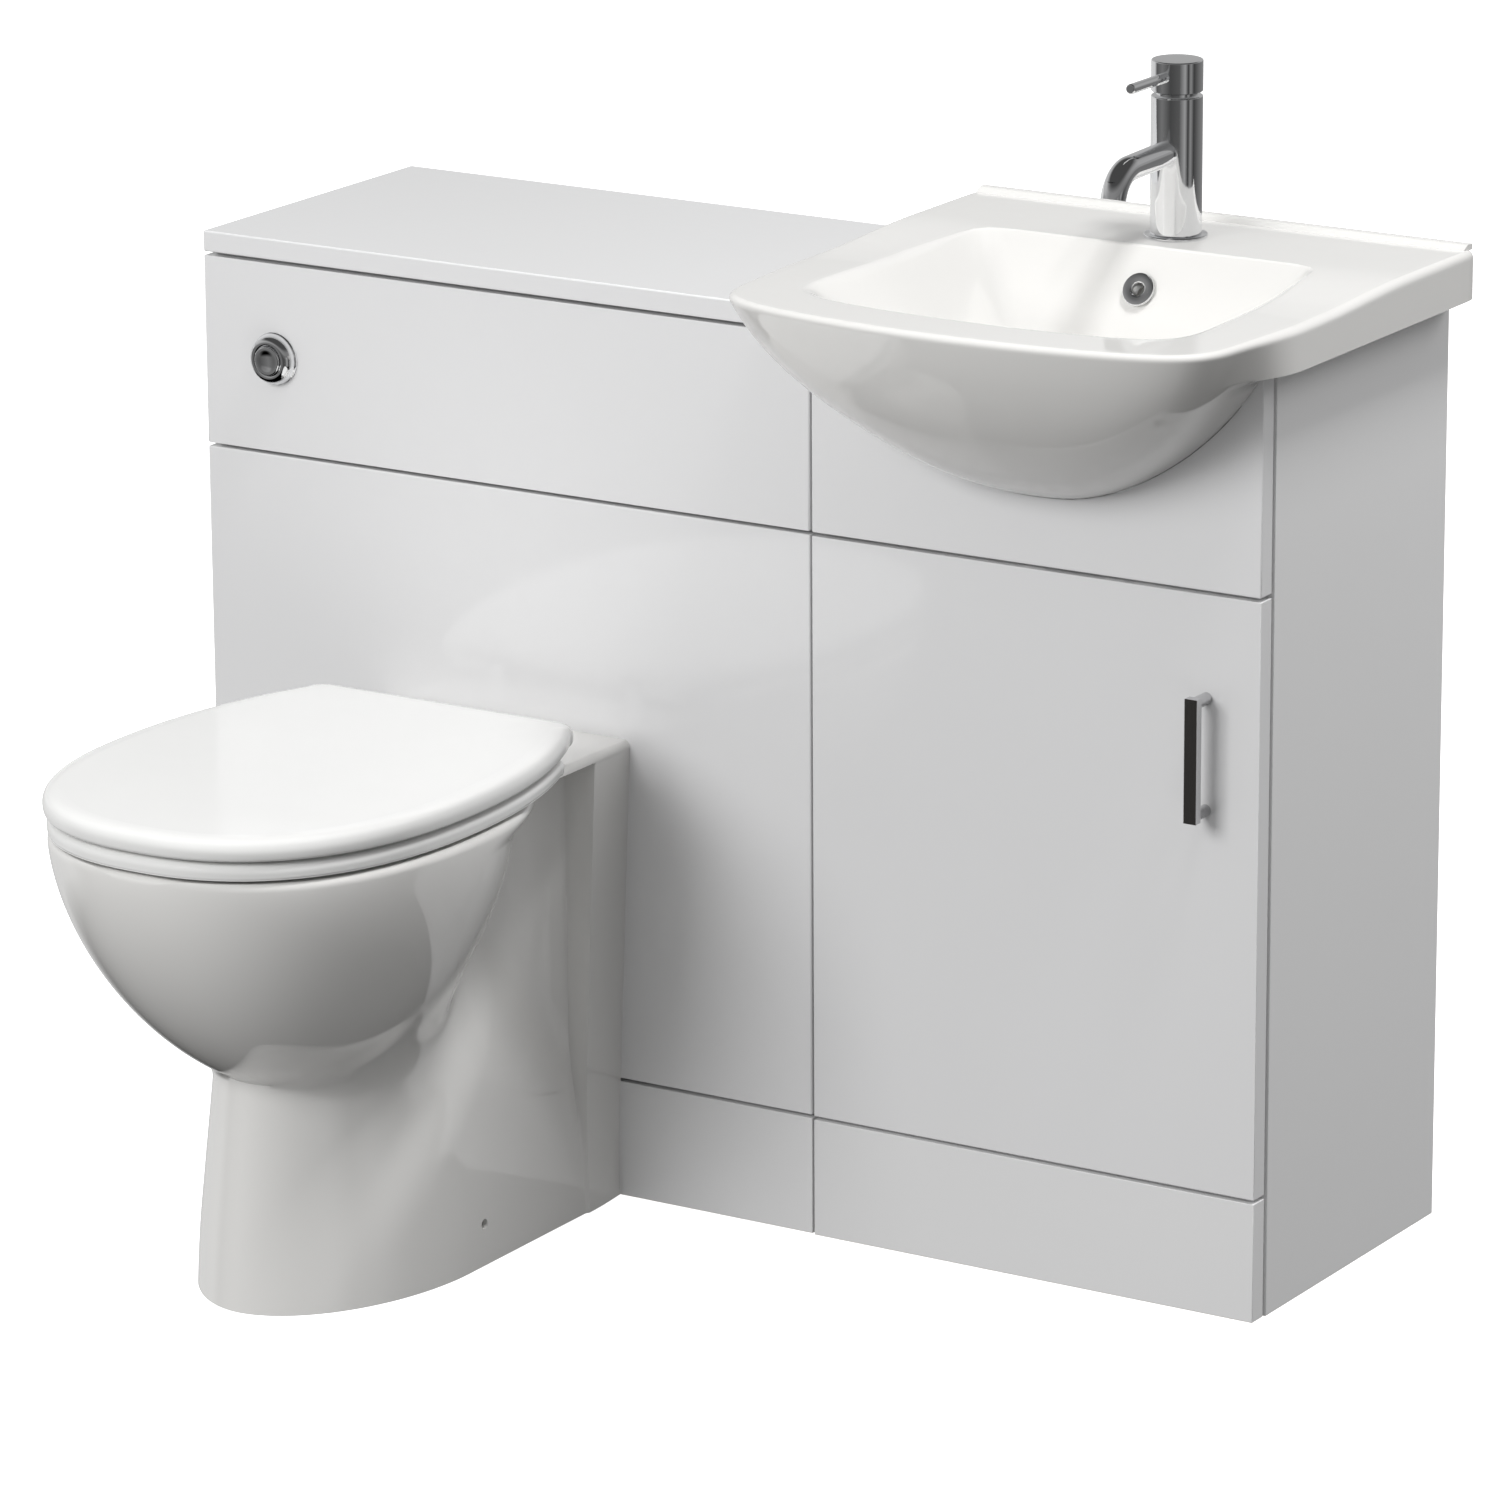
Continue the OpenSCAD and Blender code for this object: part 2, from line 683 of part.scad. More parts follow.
socket_r = soil_d / 2 + 7;
spigot_r = 51;
recess_y = -95;
side_hole_y = -206;
side_hole_z = 36;
side_hole_r = 4.5;
cavity_half = foot_w / 2 - 20;
head_seat = foot_w / 2 - 12;
cavity_h = 74;
hinge_y = -94;
hinge_z = pan_h + 14;
module pan() {
  levels = [0, 30, 60, 95, 130, 160, 178, 190, 202, 216, 234, 256, 282, 312, 344, 374, 390];
  color(ceramic) difference() {
    union() {
      difference() {
        loft(concat(
          [for (z = levels) pan_ring(z * pan_h / 400, 0)],
          [pan_ring(rim_z - 1, 0.6), pan_ring(pan_h - 0.7, 2.6), pan_ring(pan_h, 6.5)],
          [for (f = [0.8, 0.6, 0.42]) pan_deck(f)]
        ));
        rod_y(wc_mid, soil_z, recess_y, eps, socket_r + 4);
      }
      rod_y(wc_mid, soil_z, recess_y - eps, -35, spigot_r);
    }
    pan_bowl();
    rod_y(wc_mid, soil_z, -150, eps, spigot_r - 8);
    rod_y(wc_mid, inlet_z, -90, eps, inlet_r);
    round_block(
      wc_mid - cavity_half, wc_mid + cavity_half, side_hole_y - 70, side_hole_y + 90,
      -eps, cavity_h, 40
    );
    rod_x(side_hole_y, side_hole_z, wc_mid - foot_w, wc_mid + foot_w, screw_r + clear);
    for (s = [-1, 1])
      rod_x(
        side_hole_y, side_hole_z, wc_mid + min(s * head_seat, s * foot_w),
        wc_mid + max(s * head_seat, s * foot_w), side_hole_r
      );
    for (s = [-1, 1])
      rod_z(wc_mid + s * hinge_pitch / 2, hinge_y, pan_h - 40, pan_h + eps, 4);
  }
}

module soil_connector() {
  bore = soil_d / 2 - 4;
  color(plastic) union() {
    tube_y(wc_mid, soil_z, -55, front_t + 8, socket_r, spigot_r + clear);
    tube_y(wc_mid, soil_z, front_t + 8, front_t + 14, socket_r, bore);
    tube_y(wc_mid, soil_z, front_t + 14, unit_d, soil_d / 2, bore);
  }
}

// steel angle brackets that stand on the floor against the foot's inner walls
bracket_t = 3;
module pan_brackets() {
  color(steel) for (s = [-1, 1]) difference() {
    inner = wc_mid + s * (cavity_half - bracket_t / 2);
    union() {
      translate([inner - bracket_t / 2, side_hole_y - 20, 0]) cube([bracket_t, 40, 56]);
      translate([inner - 15 - s * 15, side_hole_y - 20, 0]) cube([30, 40, bracket_t]);
    }
    rod_x(side_hole_y, side_hole_z, inner - 5, inner + 5, screw_r);
    rod_z(inner - s * 18, side_hole_y, -eps, bracket_t + eps, 3);
  }
}

module pan_screws() {
  tip = cavity_half - 12;
  head = head_seat + 3;
  color(steel) for (s = [-1, 1]) union() {
    rod_x(
      side_hole_y, side_hole_z, wc_mid + min(s * tip, s * head), wc_mid + max(s * tip, s * head), screw_r
    );
    rod_x(
      side_hole_y, side_hole_z, wc_mid + min(s * head_seat, s * head),
      wc_mid + max(s * head_seat, s * head), side_hole_r - clear
    );
  }
}

// ----------------------------------------------------------------- seat and lid

seat_z0 = pan_h + 3;
seat_z1 = seat_z0 + seat_t;
lid_z0 = seat_z1 + 2;
lid_z1 = lid_z0 + lid_t;
seat_half = pan_w / 2 - 1;
seat_front = bowl_front + 4;
seat_side_len = 300;
seat_plan = 2.35;
lid_back = hinge_y + 9;
ring_back = hinge_y - 20;
corner_r = 14;
side_steps = 7;
// egg with a straight back edge; inset moves it inwards all round
function seat_outline(inset, back) =
  let (
    a = seat_half - inset,
    front = seat_front - inset,
    corner_y = back - inset - corner_r,
    side_x = function(y) seat_half * sqrt(1 - pow((y - bowl_mid) / seat_side_len, 2)) - inset,
    right = concat(
      [for (i = [0 : front_steps]) let (t = 90 * i / front_steps)
        [a * pow(sin(t), 2 / seat_plan), bowl_mid - front * pow(cos(t), 2 / seat_plan)]],
      [for (j = [1 : side_steps]) let (y = mix(bowl_mid, corner_y, j / side_steps)) [side_x(y), y]],
      [for (t = [30, 60, 90])
        [side_x(corner_y) - corner_r * (1 - cos(t)), corner_y + corner_r * sin(t)]]
    ),
    last = len(right) - 1
  )
  [
    for (p = concat(right, [for (i = [last : -1 : 1]) [-right[i][0], right[i][1]]]))
      [wc_mid + p[0], p[1]]
  ];
// the seat's opening, with one point for each point of the outline
open_half = 108;
open_front = 150;
open_rear = 118;
function seat_opening(inset, n) = [
  for (i = [0 : n - 1]) let (t = 360 * i / n - 90, c = cos(t), s = sin(t))
    [
      wc_mid + (open_half - inset) * spow(c, 0.95),
      bowl_mid + (s < 0 ? open_front : open_rear) * s - (s < 0 ? -inset : inset) * abs(s)
    ]
];
pin_r = 3.5;
lug_r = 7;
lug_x0 = hinge_pitch / 2 + 10;
lug_x1 = lug_x0 + 16;
cheek_x0 = lug_x1 + 1;
cheek_x1 = cheek_x0 + 18;

module seat_ring() {
  outer = seat_outline(3, ring_back);
  n = len(outer);
  inner = seat_opening(0, n);
  // share of the way from the opening to the outline, and height over the underside
  profile = [
    [0.05, 0], [0.95, 0], [1, 3], [1, 8], [0.97, 11.5], [0.9, seat_t], [0.62, seat_t],
    [0.28, seat_t - 1], [0.08, seat_t - 4], [0, seat_t - 8], [0, 3]
  ];
  rings = [
    for (p = profile)
      [for (i = [0 : n - 1]) let (q = mix(inner[i], outer[i], p[0])) [q[0], q[1], seat_z0 + p[1]]]
  ];
  color(plastic) difference() {
    union() {
      ring_loft(rings);
      for (s = [-1, 1]) {
        x0 = wc_mid + min(s * lug_x0, s * lug_x1);
        rod_x(hinge_y, hinge_z, x0, x0 + lug_x1 - lug_x0, lug_r);
        slab(x0, x0 + lug_x1 - lug_x0, ring_back - 12, hinge_y, hinge_z - lug_r, seat_z1);
      }
    }
    rod_x(hinge_y, hinge_z, wc_mid - cheek_x1, wc_mid + cheek_x1, pin_r + run_fit);
  }
}

lid_rim = 15;
lid_recess = 5;
module seat_lid() {
  color(plastic) difference() {
    union() {
      loft([
        lift(seat_outline(2.5, lid_back), lid_z0), lift(seat_outline(0.5, lid_back), lid_z0 + 3),
        lift(seat_outline(0, lid_back), lid_z0 + 7), lift(seat_outline(1.4, lid_back), lid_z1 - 5),
        lift(seat_outline(4.5, lid_back), lid_z1 - 1.8), lift(seat_outline(9, lid_back), lid_z1 - 0.4),
        lift(seat_outline(15, lid_back), lid_z1)
      ]);
      for (s = [-1, 1]) {
        x0 = wc_mid + min(s * cheek_x0, s * cheek_x1);
        rod_x(hinge_y, hinge_z, x0, x0 + cheek_x1 - cheek_x0, lug_r);
        slab(x0, x0 + cheek_x1 - cheek_x0, hinge_y - lug_r, hinge_y + lug_r, hinge_z, lid_z0 + lid_recess);
      }
    }
    translate([0, 0, lid_z0 - eps]) linear_extrude(lid_recess + eps)
      polygon(seat_outline(lid_rim, lid_back - 20));
    for (s = [-1, 1]) {
      x0 = wc_mid + min(s * (hinge_pitch / 2 - 12), s * (cheek_x0 - clear));
      slab(
        x0, x0 + cheek_x0 - clear - hinge_pitch / 2 + 12, ring_back - 16, lid_back + eps,
        lid_z0 - 5, lid_z0 + lid_recess + 1
      );
    }
    rod_x(hinge_y, hinge_z, wc_mid - cheek_x1 + 3, wc_mid + cheek_x1 - 3, pin_r + run_fit);
  }
}

// soft feet under the ring, over the pan's rim
module seat_buffers() {
  color(rubber) for (s = [-1, 1], p = [[142, -80], [128, 84]])
    rod_z(wc_mid + s * p[0], bowl_mid + p[1], pan_h + clear, seat_z0, 7);
}

module lid_buffers() {
  color(rubber) for (s = [-1, 1], p = [[138, -70], [132, 90]])
    rod_z(wc_mid + s * p[0], bowl_mid + p[1], seat_z1 + clear, lid_z0 + lid_recess, 5);
}

// posts bolted down through the pan's deck
post_r = 9;
module hinge_posts() {
  color(chrome) for (s = [-1, 1]) difference() {
    x = wc_mid + s * hinge_pitch / 2;
    union() {
      rod_z(x, hinge_y, pan_h, pan_h + 3, 11.5);
      rod_z(x, hinge_y, pan_h, hinge_z + 4.4, post_r);
      rod_z(x, hinge_y, pan_h - 38, pan_h, 3.5);
    }
    rod_x(hinge_y, hinge_z, x - 20, x + 20, pin_r);
  }
}

module hinge_pins() {
  color(steel) for (s = [-1, 1]) {
    x0 = wc_mid + min(s * (hinge_pitch / 2 - post_r), s * (cheek_x1 - 4));
    rod_x(hinge_y, hinge_z, x0, x0 + cheek_x1 - 4 - hinge_pitch / 2 + post_r, pin_r);
  }
}

// -------------------------------------------------------------- basin cabinet

module van_side_left() {
  color(white_board) slab(van_x0, van_in0, carcass_y, unit_d, 0, top_z);
}

module van_side_right() {
  color(white_board) slab(van_in1, van_x1, carcass_y, unit_d, 0, top_z);
}

// the supply pipes stand in front of the back rails, in holes wide enough for a coupling
supply_gap = 30;
supply_y = rail_y - supply_gap;
supply_r = supply_d / 2;
pipe_gap = 2;
module van_base() {
  color(white_board) difference() {
    slab(van_in0, van_in1, carcass_y, unit_d, plinth_h, base_top);
    for (s = [-1, 1])
      rod_z(van_mid + s * supply_pitch / 2, supply_y, plinth_h - eps, base_top + eps, supply_r + pipe_gap);
  }
}

module van_back_rails() {
  color(white_board) difference() {
    union() {
      slab(van_in0, van_in1, rail_y, unit_d, top_z - rail_h, top_z);
      slab(van_in0, van_in1, rail_y, unit_d, base_top, base_top + rail_h);
    }
    wall_holes(van_mid, wall_hole_z);
  }
}

module van_front_rail() {
  color(white_board)
    slab(
      van_in0, van_in1, van_back_y, van_back_y + board_t,
      split_h + gap_h, min(split_h + gap_h + cross_h, belly_low - 6)
    );
}

// the upper front is cut out to the basin's belly
belly_gap = 3;
function cut_half(share) =
  belly_half * share * arch((belly_mid - van_back_y) / ((belly_front - belly_bow) * share), belly_plan);
module van_upper_front() {
  half = van_in1 - van_mid;
  top = top_z - eps;
  side = [
    for (i = [1 : 20]) let (share = mix(0.1, belly_share(top_z), i / 20))
      [cut_half(share) + belly_gap, belly_z(share) - belly_gap]
  ];
  low = [for (p = side) if (p[0] < half) p];
  last = low[len(low) - 1];
  right = concat(low, [[half, last[1] + 6], [half, top + eps]]);
  color(white_board) difference() {
    slab(van_x0 + gap_h, van_x1 - gap_h, van_front_y, van_back_y, split_h + gap_h, top);
    translate([van_mid, van_back_y + eps, 0]) rotate([90, 0, 0]) linear_extrude(front_t + 2 * eps)
      polygon(concat(
        right, [for (i = [len(right) - 1 : -1 : 0]) [-right[i][0], right[i][1]]]
      ));
  }
}

// plinth with two glued blocks against the side boards
module van_plinth() {
  color(white_board) union() {
    slab(van_x0 + gap_h, van_x1 - gap_h, van_front_y, van_back_y, 0, plinth_h - gap_h);
    slab(van_in0, van_in0 + 22, van_back_y, van_back_y + 40, 0, plinth_h - 40);
    slab(van_in1 - 22, van_in1, van_back_y, van_back_y + 40, 0, plinth_h - 40);
  }
}

door_x0 = van_x0 + gap_h;
door_x1 = van_x1 - gap_h;
door_z0 = plinth_h + gap_h;
door_z1 = split_h - gap_h;
cup_x = door_x0 + 5 + cup_d / 2;
hinge_zs = [door_z0 + hinge_inset, door_z1 - hinge_inset];
handle_x = door_x1 - handle_edge;
post_zs = [handle_z - handle_pitch / 2, handle_z + handle_pitch / 2];
handle_screw_r = 2;
module door() {
  color(white_board) difference() {
    slab(door_x0, door_x1, van_front_y, van_back_y, door_z0, door_z1);
    for (z = hinge_zs) rod_y(cup_x, z, van_back_y - cup_depth, van_back_y + eps, cup_d / 2);
    for (z = post_zs) rod_y(handle_x, z, van_front_y - eps, van_back_y + eps, handle_screw_r);
  }
}

// pressed cups in the door, with their screwed flanges
module hinge_cups() {
  color(steel) for (z = hinge_zs) difference() {
    union() {
      rod_y(cup_x, z, van_back_y - cup_depth, van_back_y + 1.2, cup_d / 2);
      slab(cup_x - 7, cup_x + 7, van_back_y, van_back_y + 1.2, z - 27, z + 27);
      for (s = [-1, 1]) rod_y(cup_x, z + s * 22, van_back_y + 1.2, van_back_y + 1.9, 4);
    }
    rod_y(cup_x, z, van_back_y - cup_depth + 1.2, van_back_y + 2, cup_d / 2 - 1.2);
  }
}

// hinge arms on their mounting plates, inside the left board
arm_y1 = carcass_y + 70;
module hinge_arms() {
  color(steel) for (z = hinge_zs) union() {
    slab(van_in0, van_in0 + 2, carcass_y + 22, carcass_y + 62, z - 24, z + 24);
    slab(van_in0 + 2, van_in0 + 12, carcass_y + 4, arm_y1, z - 8, z + 8);
    slab(van_in0 + 4, van_in0 + 11, van_back_y - 6, carcass_y + 4, z - 6, z + 6);
    rod_x(carcass_y + 12, z, van_in0 + 2, van_in0 + 13.5, 4);
    rod_x(carcass_y + 42, z, van_in0 + 2, van_in0 + 13.5, 4);
  }
}

bar_y0 = van_front_y - handle_stand;
module door_handle() {
  color([0.62, 0.62, 0.64]) difference() {
    union() {
      slab(
        handle_x - handle_w / 2, handle_x + handle_w / 2, bar_y0, bar_y0 + handle_t,
        handle_z - handle_len / 2, handle_z + handle_len / 2
      );
      for (z = post_zs) rod_y(handle_x, z, bar_y0 + handle_t, van_front_y, 5);
    }
    for (z = post_zs) rod_y(handle_x, z, bar_y0 + handle_t + 4, van_front_y + eps, handle_screw_r);
  }
}

module handle_screws() {
  color(steel) for (z = post_zs) union() {
    rod_y(handle_x, z, bar_y0 + handle_t + 6, van_back_y, handle_screw_r);
    rod_y(handle_x, z, van_back_y, van_back_y + 2.4, 4);
  }
}

// soft stops on the door's free edge, against the right board
module door_buffers() {
  color([0.9, 0.9, 0.92]) for (z = [door_z0 + 20, door_z1 - 20])
    rod_y(van_in1 + board_t / 2, z, van_back_y, carcass_y - clear, 4);
}

// ----------------------------------------------------------------------- basin

// radius at an angle of a superellipse whose front is bowed back towards its sides
function polar(a, b, n, t) = 1 / pow(pow(abs(cos(t)) / a, n) + pow(abs(sin(t)) / b, n), 1 / n);
function bowed(a, b, n, bow, t) =
  let (
    r0 = polar(a, b, n, t), r1 = polar(a, b - bow * pow(r0 * cos(t) / a, 2), n, t),
    r2 = polar(a, b - bow * pow(r1 * cos(t) / a, 2), n, t)
  )
  r2;
// angles from one to another, crowded round a corner between them
function fan(from, corner, to, k, crowd) = [
  for (j = [-k : k]) let (v = j / k)
    corner + (v < 0 ? corner - from : to - corner) * spow(v, crowd)
];

// belly: its plan is a bowed superellipse, and it shrinks downwards along a second curve
belly_mid = 34;
tap_y = unit_d - tap_inset;
// from the tap's axis to the bowl's rear edge
tap_room = 33;
belly_half = basin_w / 2 + 10;
belly_plan = 4.2;
belly_curve = 1.79;
belly_top = top_z + 107.5;
belly_drop = 239.5;
belly_low = belly_top - belly_drop;
belly_rear = tap_y - tap_room;
belly_bow = 34;
function belly_share(z) =
  pow(max(0, 1 - pow(max(0, (belly_top - z) / belly_drop), belly_curve)), 1 / belly_curve);
function belly_z(share) =
  belly_top - belly_drop * pow(max(0, 1 - pow(share, belly_curve)), 1 / belly_curve);
rim_top = top_z + basin_edge;
rim_share = belly_share(rim_top);
belly_front = (basin_proj + belly_mid) / rim_share;
function belly_r(t, z) =
  let (s = max(0.001, belly_share(z)))
  t < 0
    ? bowed(belly_half * s, belly_front * s, belly_plan, belly_bow * s, t)
    : polar(belly_half * s, belly_rear * s, belly_plan, t);
// the flat edge: straight sides back to the wall, with tight rear corners
function edge_r(t) =
  t < 0
    ? bowed(basin_w / 2, basin_proj + belly_mid, 11, belly_bow * 0.9, t)
    : polar(basin_w / 2, unit_d - belly_mid, 60, t);
// in front the edge runs down into the belly
function rim_r(t, z, inset) =
  let (
    r = edge_r(t) - inset,
    w = sstep((14 - belly_mid - r * sin(t)) / 100) * sstep((rim_top - 3 - z) / (basin_edge - 3))
  )
  mix(r, belly_r(t, z), w);
// the deck round the tap lies a little higher than the front rim
deck_rise = 5;
function rise(y, z) = deck_rise * sstep((y - 40) / 150) * sstep((z - top_z) / basin_edge);
rear_corner = atan2(unit_d - belly_mid, basin_w / 2);
half_turn = concat(fan(-90, -38, 0, 9, 1.4), [for (t = fan(0, rear_corner, 90, 5, 2.6)) if (t > 0.01) t]);
turn = concat(half_turn, [for (i = [len(half_turn) - 2 : -1 : 1]) 180 - half_turn[i]]);
function half_angle(t) = t > 90 ? 180 - t : t;
function around(t, r, z) =
  let (y = belly_mid + r * sin(t)) [van_mid + r * cos(t), y, z + rise(y, z)];
function belly_ring(z, grow) = [for (t = turn) around(t, belly_r(half_angle(t), z) + grow, z)];
function rim_ring(z, inset) = [for (t = turn) around(t, rim_r(half_angle(t), z, inset), z)];
function deck_ring(f) = [for (t = turn) around(t, rim_r(half_angle(t), rim_top, 7) * f, rim_top)];

// the bowl: rounded rectangle that narrows to the waste; its rear edge bulges in front of the tap
bowl_front_y = -98;
bowl_rear_y = tap_y - tap_room;
corner_rear_y = bowl_rear_y + 24;
bulge_half = 90;
waste_y = 66;
waste_r = 23;
pool_r = waste_r + 6;
// the bowl's width grows from the waste as a power of the height, its rear wall leans back more
bowl_swell = 2.35;
rear_lean = 1.7;
function bowl_r(t, share, z) =
  t < 0
    ? bowed(mix(pool_r, bowl_w / 2, share), mix(pool_r, waste_y - bowl_front_y, share), 5, 16 * share, t)
    : let (
        aside = abs(cos(t)) / max(0.01, sin(t)) * (bowl_rear_y - waste_y) / bulge_half,
        back = (corner_rear_y - bowl_rear_y) * (1 - sstep(1.6 - aside)) * sstep((z - top_z) / basin_edge)
      )
      polar(
        mix(pool_r, bowl_w / 2, share),
        mix(pool_r, bowl_rear_y - waste_y, pow(share, rear_lean)) + back, 6, t
      );
bowl_half_turn = concat(fan(-90, -42, 0, 6, 1.3), [for (t = fan(0, 38, 90, 6, 1.5)) if (t > 0.01) t]);
bowl_turn = concat(
  bowl_half_turn, [for (i = [len(bowl_half_turn) - 2 : -1 : 1]) 180 - bowl_half_turn[i]]
);
function bowl_ring(share, z, grow) = [
  for (t = bowl_turn)
    let (r = bowl_r(half_angle(t), share, z) + grow, y = waste_y + r * sin(t))
    [van_mid + r * cos(t), y, z + rise(y, z)]
];
module basin_bowl() {
  loft(concat(
    [for (q = [0, 0.2, 0.4, 0.56, 0.7, 0.81, 0.9, 0.96])
      bowl_ring(q, waste_seat_z + pow(q, bowl_swell) * bowl_depth, 0)],
    [bowl_ring(1, rim_top - 5, 0), bowl_ring(1, rim_top - 1.2, 2.4), bowl_ring(1, rim_top, 5.5)],
    [lift(bowl_ring(1, rim_top, 8), rim_top + 2 * deck_rise)]
  ));
}

waste_seat_z = rim_top - bowl_depth;
boss_z = waste_seat_z - 42;
deck_z = rim_top + deck_rise;
// the overflow sits square on the rear wall
overflow_z = rim_top - 28;
overflow_u = (overflow_z - waste_seat_z) / bowl_depth;
overflow_y = waste_y + mix(pool_r, bowl_rear_y - waste_y, pow(overflow_u, rear_lean / bowl_swell));
overflow_tilt = atan(
  (bowl_rear_y - waste_y - pool_r) * rear_lean / bowl_swell
    * pow(overflow_u, rear_lean / bowl_swell - 1) / bowl_depth
);
waste_hole_r = 21.5;
rebate_half = van_in1 - van_mid - 3;
ring_seat = 0.7;
module basin() {
  color(ceramic) difference() {
    union() {
      difference() {
        loft(concat(
          [for (f = [1, 0.97, 0.9, 0.8, 0.68, 0.54, 0.4, 0.26, 0.12])
            belly_ring(mix(top_z, belly_low + 0.3, f), 0)],
          [belly_ring(top_z, -0.6)],
          [for (f = [0, 0.25, 0.5, 0.72]) rim_ring(mix(top_z, rim_top, f), 0)],
          [rim_ring(rim_top - 5, 0), rim_ring(rim_top - 2.4, 0.9)],
          [rim_ring(rim_top - 0.7, 3), rim_ring(rim_top, 7)],
          [for (f = [0.93, 0.8, 0.66]) deck_ring(f)]
        ));
        for (s = [-1, 1])
          translate([van_mid + s * (rebate_half + 50) - 50, van_front_y - clear, top_z - 150])
            cube([100, unit_d, 150]);
      }
      rod_z(van_mid, waste_y, boss_z, waste_seat_z + 8, waste_r + 14);
      translate([van_mid - basin_w / 2 + 5, unit_d, deck_z]) rotate([90, 0, 90])
        linear_extrude(basin_w - 10) polygon([
          [-16, -1], [0, -1], [0, lip_h - 1.2], [-1.2, lip_h], [-8, lip_h], [-11, lip_h * 0.7],
          [-14, lip_h * 0.2]
        ]);
    }
    basin_bowl();
    rod_z(van_mid, waste_y, boss_z - eps, waste_seat_z + 20, waste_hole_r);
    rod_z(van_mid, tap_y, top_z - 60, deck_z + eps, tap_hole_d / 2);
    translate([van_mid, overflow_y, overflow_z]) rotate([90 - overflow_tilt, 0, 0]) {
      translate([0, 0, -14]) cylinder(h = 22, r = overflow_d / 4);
      translate([0, 0, ring_seat]) cylinder(h = 10, r = overflow_d / 2 + clear);
    }
  }
}

module overflow_ring() {
  bore = overflow_d / 4;
  color(chrome) translate([van_mid, overflow_y, overflow_z]) rotate([90 - overflow_tilt, 0, 0])
    translate([0, 0, ring_seat + clear]) rotate_extrude() polygon([
      [bore - 1.6, -8], [bore - clear, -8], [bore - clear, 0], [overflow_d / 2, 0],
      [overflow_d / 2, 1], [overflow_d / 2 - 1.5, 1.9], [bore, 1.9], [bore - 1.6, 0.9]
    ]);
}

// slotted waste with its flange in the bowl and its backnut under the boss
flange_r = 31;
plug_stem_r = 3.2;
tail_end = boss_z - 46;
module basin_waste() {
  color(chrome) difference() {
    union() {
      tube_z(van_mid, waste_y, tail_end, waste_seat_z + 2, waste_hole_r - clear, 17);
      tube_z(van_mid, waste_y, waste_seat_z + clear, waste_seat_z + 3, flange_r, 17);
      translate([van_mid, waste_y, boss_z - 14]) difference() {
        cylinder(h = 11, r = 30, $fn = 6);
        translate([0, 0, -eps]) cylinder(h = 20, r = waste_hole_r - 0.5);
      }
      tube_z(van_mid, waste_y, boss_z - 3, boss_z, 29, waste_hole_r - 0.5);
      rod_z(van_mid, waste_y, waste_seat_z - 30, waste_seat_z - 24, 6);
      for (a = [30 : 120 : 270])
        translate([van_mid, waste_y, waste_seat_z - 30]) rotate([0, 0, a])
          translate([0, -2, 0]) cube([18, 4, 3]);
    }
    rod_z(van_mid, waste_y, waste_seat_z - 40, waste_seat_z, plug_stem_r + run_fit);
  }
}

// click plug: a domed cap on a stem that slides in the waste's cross piece
plug_r = 29;
plug_lift = 8;
module waste_plug() {
  z = waste_seat_z + 3 + clear;
  color(chrome) union() {
    translate([van_mid, waste_y, z]) rotate_extrude() polygon([
      [0, 0], [plug_r, 0], [plug_r, 2], [plug_r - 1.5, 4], [plug_r - 8, 5.4], [0, 6]
    ]);
    rod_z(van_mid, waste_y, waste_seat_z - 36, z, plug_stem_r);
  }
}

trap_r = 24;
trap_top = tail_end + 14;
trap_mid = waste_z - 34;
pipe_wall = 2.5;
outlet_y = waste_y + 52;
nut_y = outlet_y + 10;
module bottle_trap() {
  color(plastic) difference() {
    union() {
      rod_z(van_mid, waste_y, trap_mid, trap_top - 14, trap_r);
      tube_z(van_mid, waste_y, trap_top - 24, trap_top, 29, waste_hole_r);
      rod_y(van_mid, waste_z, waste_y, outlet_y, waste_pipe_d / 2 + 3);
      rod_y(van_mid, waste_z, outlet_y - 12, nut_y, waste_pipe_d / 2 + 9);
    }
    rod_z(van_mid, waste_y, trap_mid - eps, trap_top - 20, trap_r - 3);
    rod_z(van_mid, waste_y, trap_top - 30, trap_top - 14 + eps, 16);
    rod_y(van_mid, waste_z, waste_y, nut_y + eps, waste_pipe_d / 2);
  }
}

module trap_cup() {
  color(plastic) difference() {
    union() {
      rod_z(van_mid, waste_y, trap_mid - 56, trap_mid, trap_r + 2);
      rod_z(van_mid, waste_y, trap_mid - 12, trap_mid, trap_r + 7);
      translate([van_mid, waste_y, trap_mid - 62]) cylinder(h = 7, r1 = trap_r - 6, r2 = trap_r + 2);
    }
    rod_z(van_mid, waste_y, trap_mid - 52, trap_mid + eps, trap_r - 3);
  }
}

// its end is turned down a little where it slips into the trap's nut
module waste_pipe() {
  r = waste_pipe_d / 2;
  color(plastic) union() {
    tube_y(van_mid, waste_z, outlet_y, nut_y, r - clear, r - pipe_wall);
    tube_y(van_mid, waste_z, nut_y, unit_d, r, r - pipe_wall);
  }
}

// ------------------------------------------------------------------------- tap

base_h = 3;
tap_z0 = deck_z + base_h;
cap_h = 29;
groove = 3.4;
body_top = deck_z + tap_h - cap_h - groove;
cap_z0 = body_top + groove;
cap_z1 = deck_z + tap_h;
tap_r = tap_d / 2;
spout_bend = 27;
spout_fall = 1.5;
spout_turn = 76;
spout_wall = 2.5;
module tap_base_ring() {
  color(chrome) translate([van_mid, tap_y, deck_z]) rotate_extrude() polygon([
    [tap_hole_d / 2 - 3, 0], [tap_r + 5, 0], [tap_r + 5, base_h - 0.8], [tap_r + 4.2, base_h],
    [tap_hole_d / 2 - 3, base_h]
  ]);
}

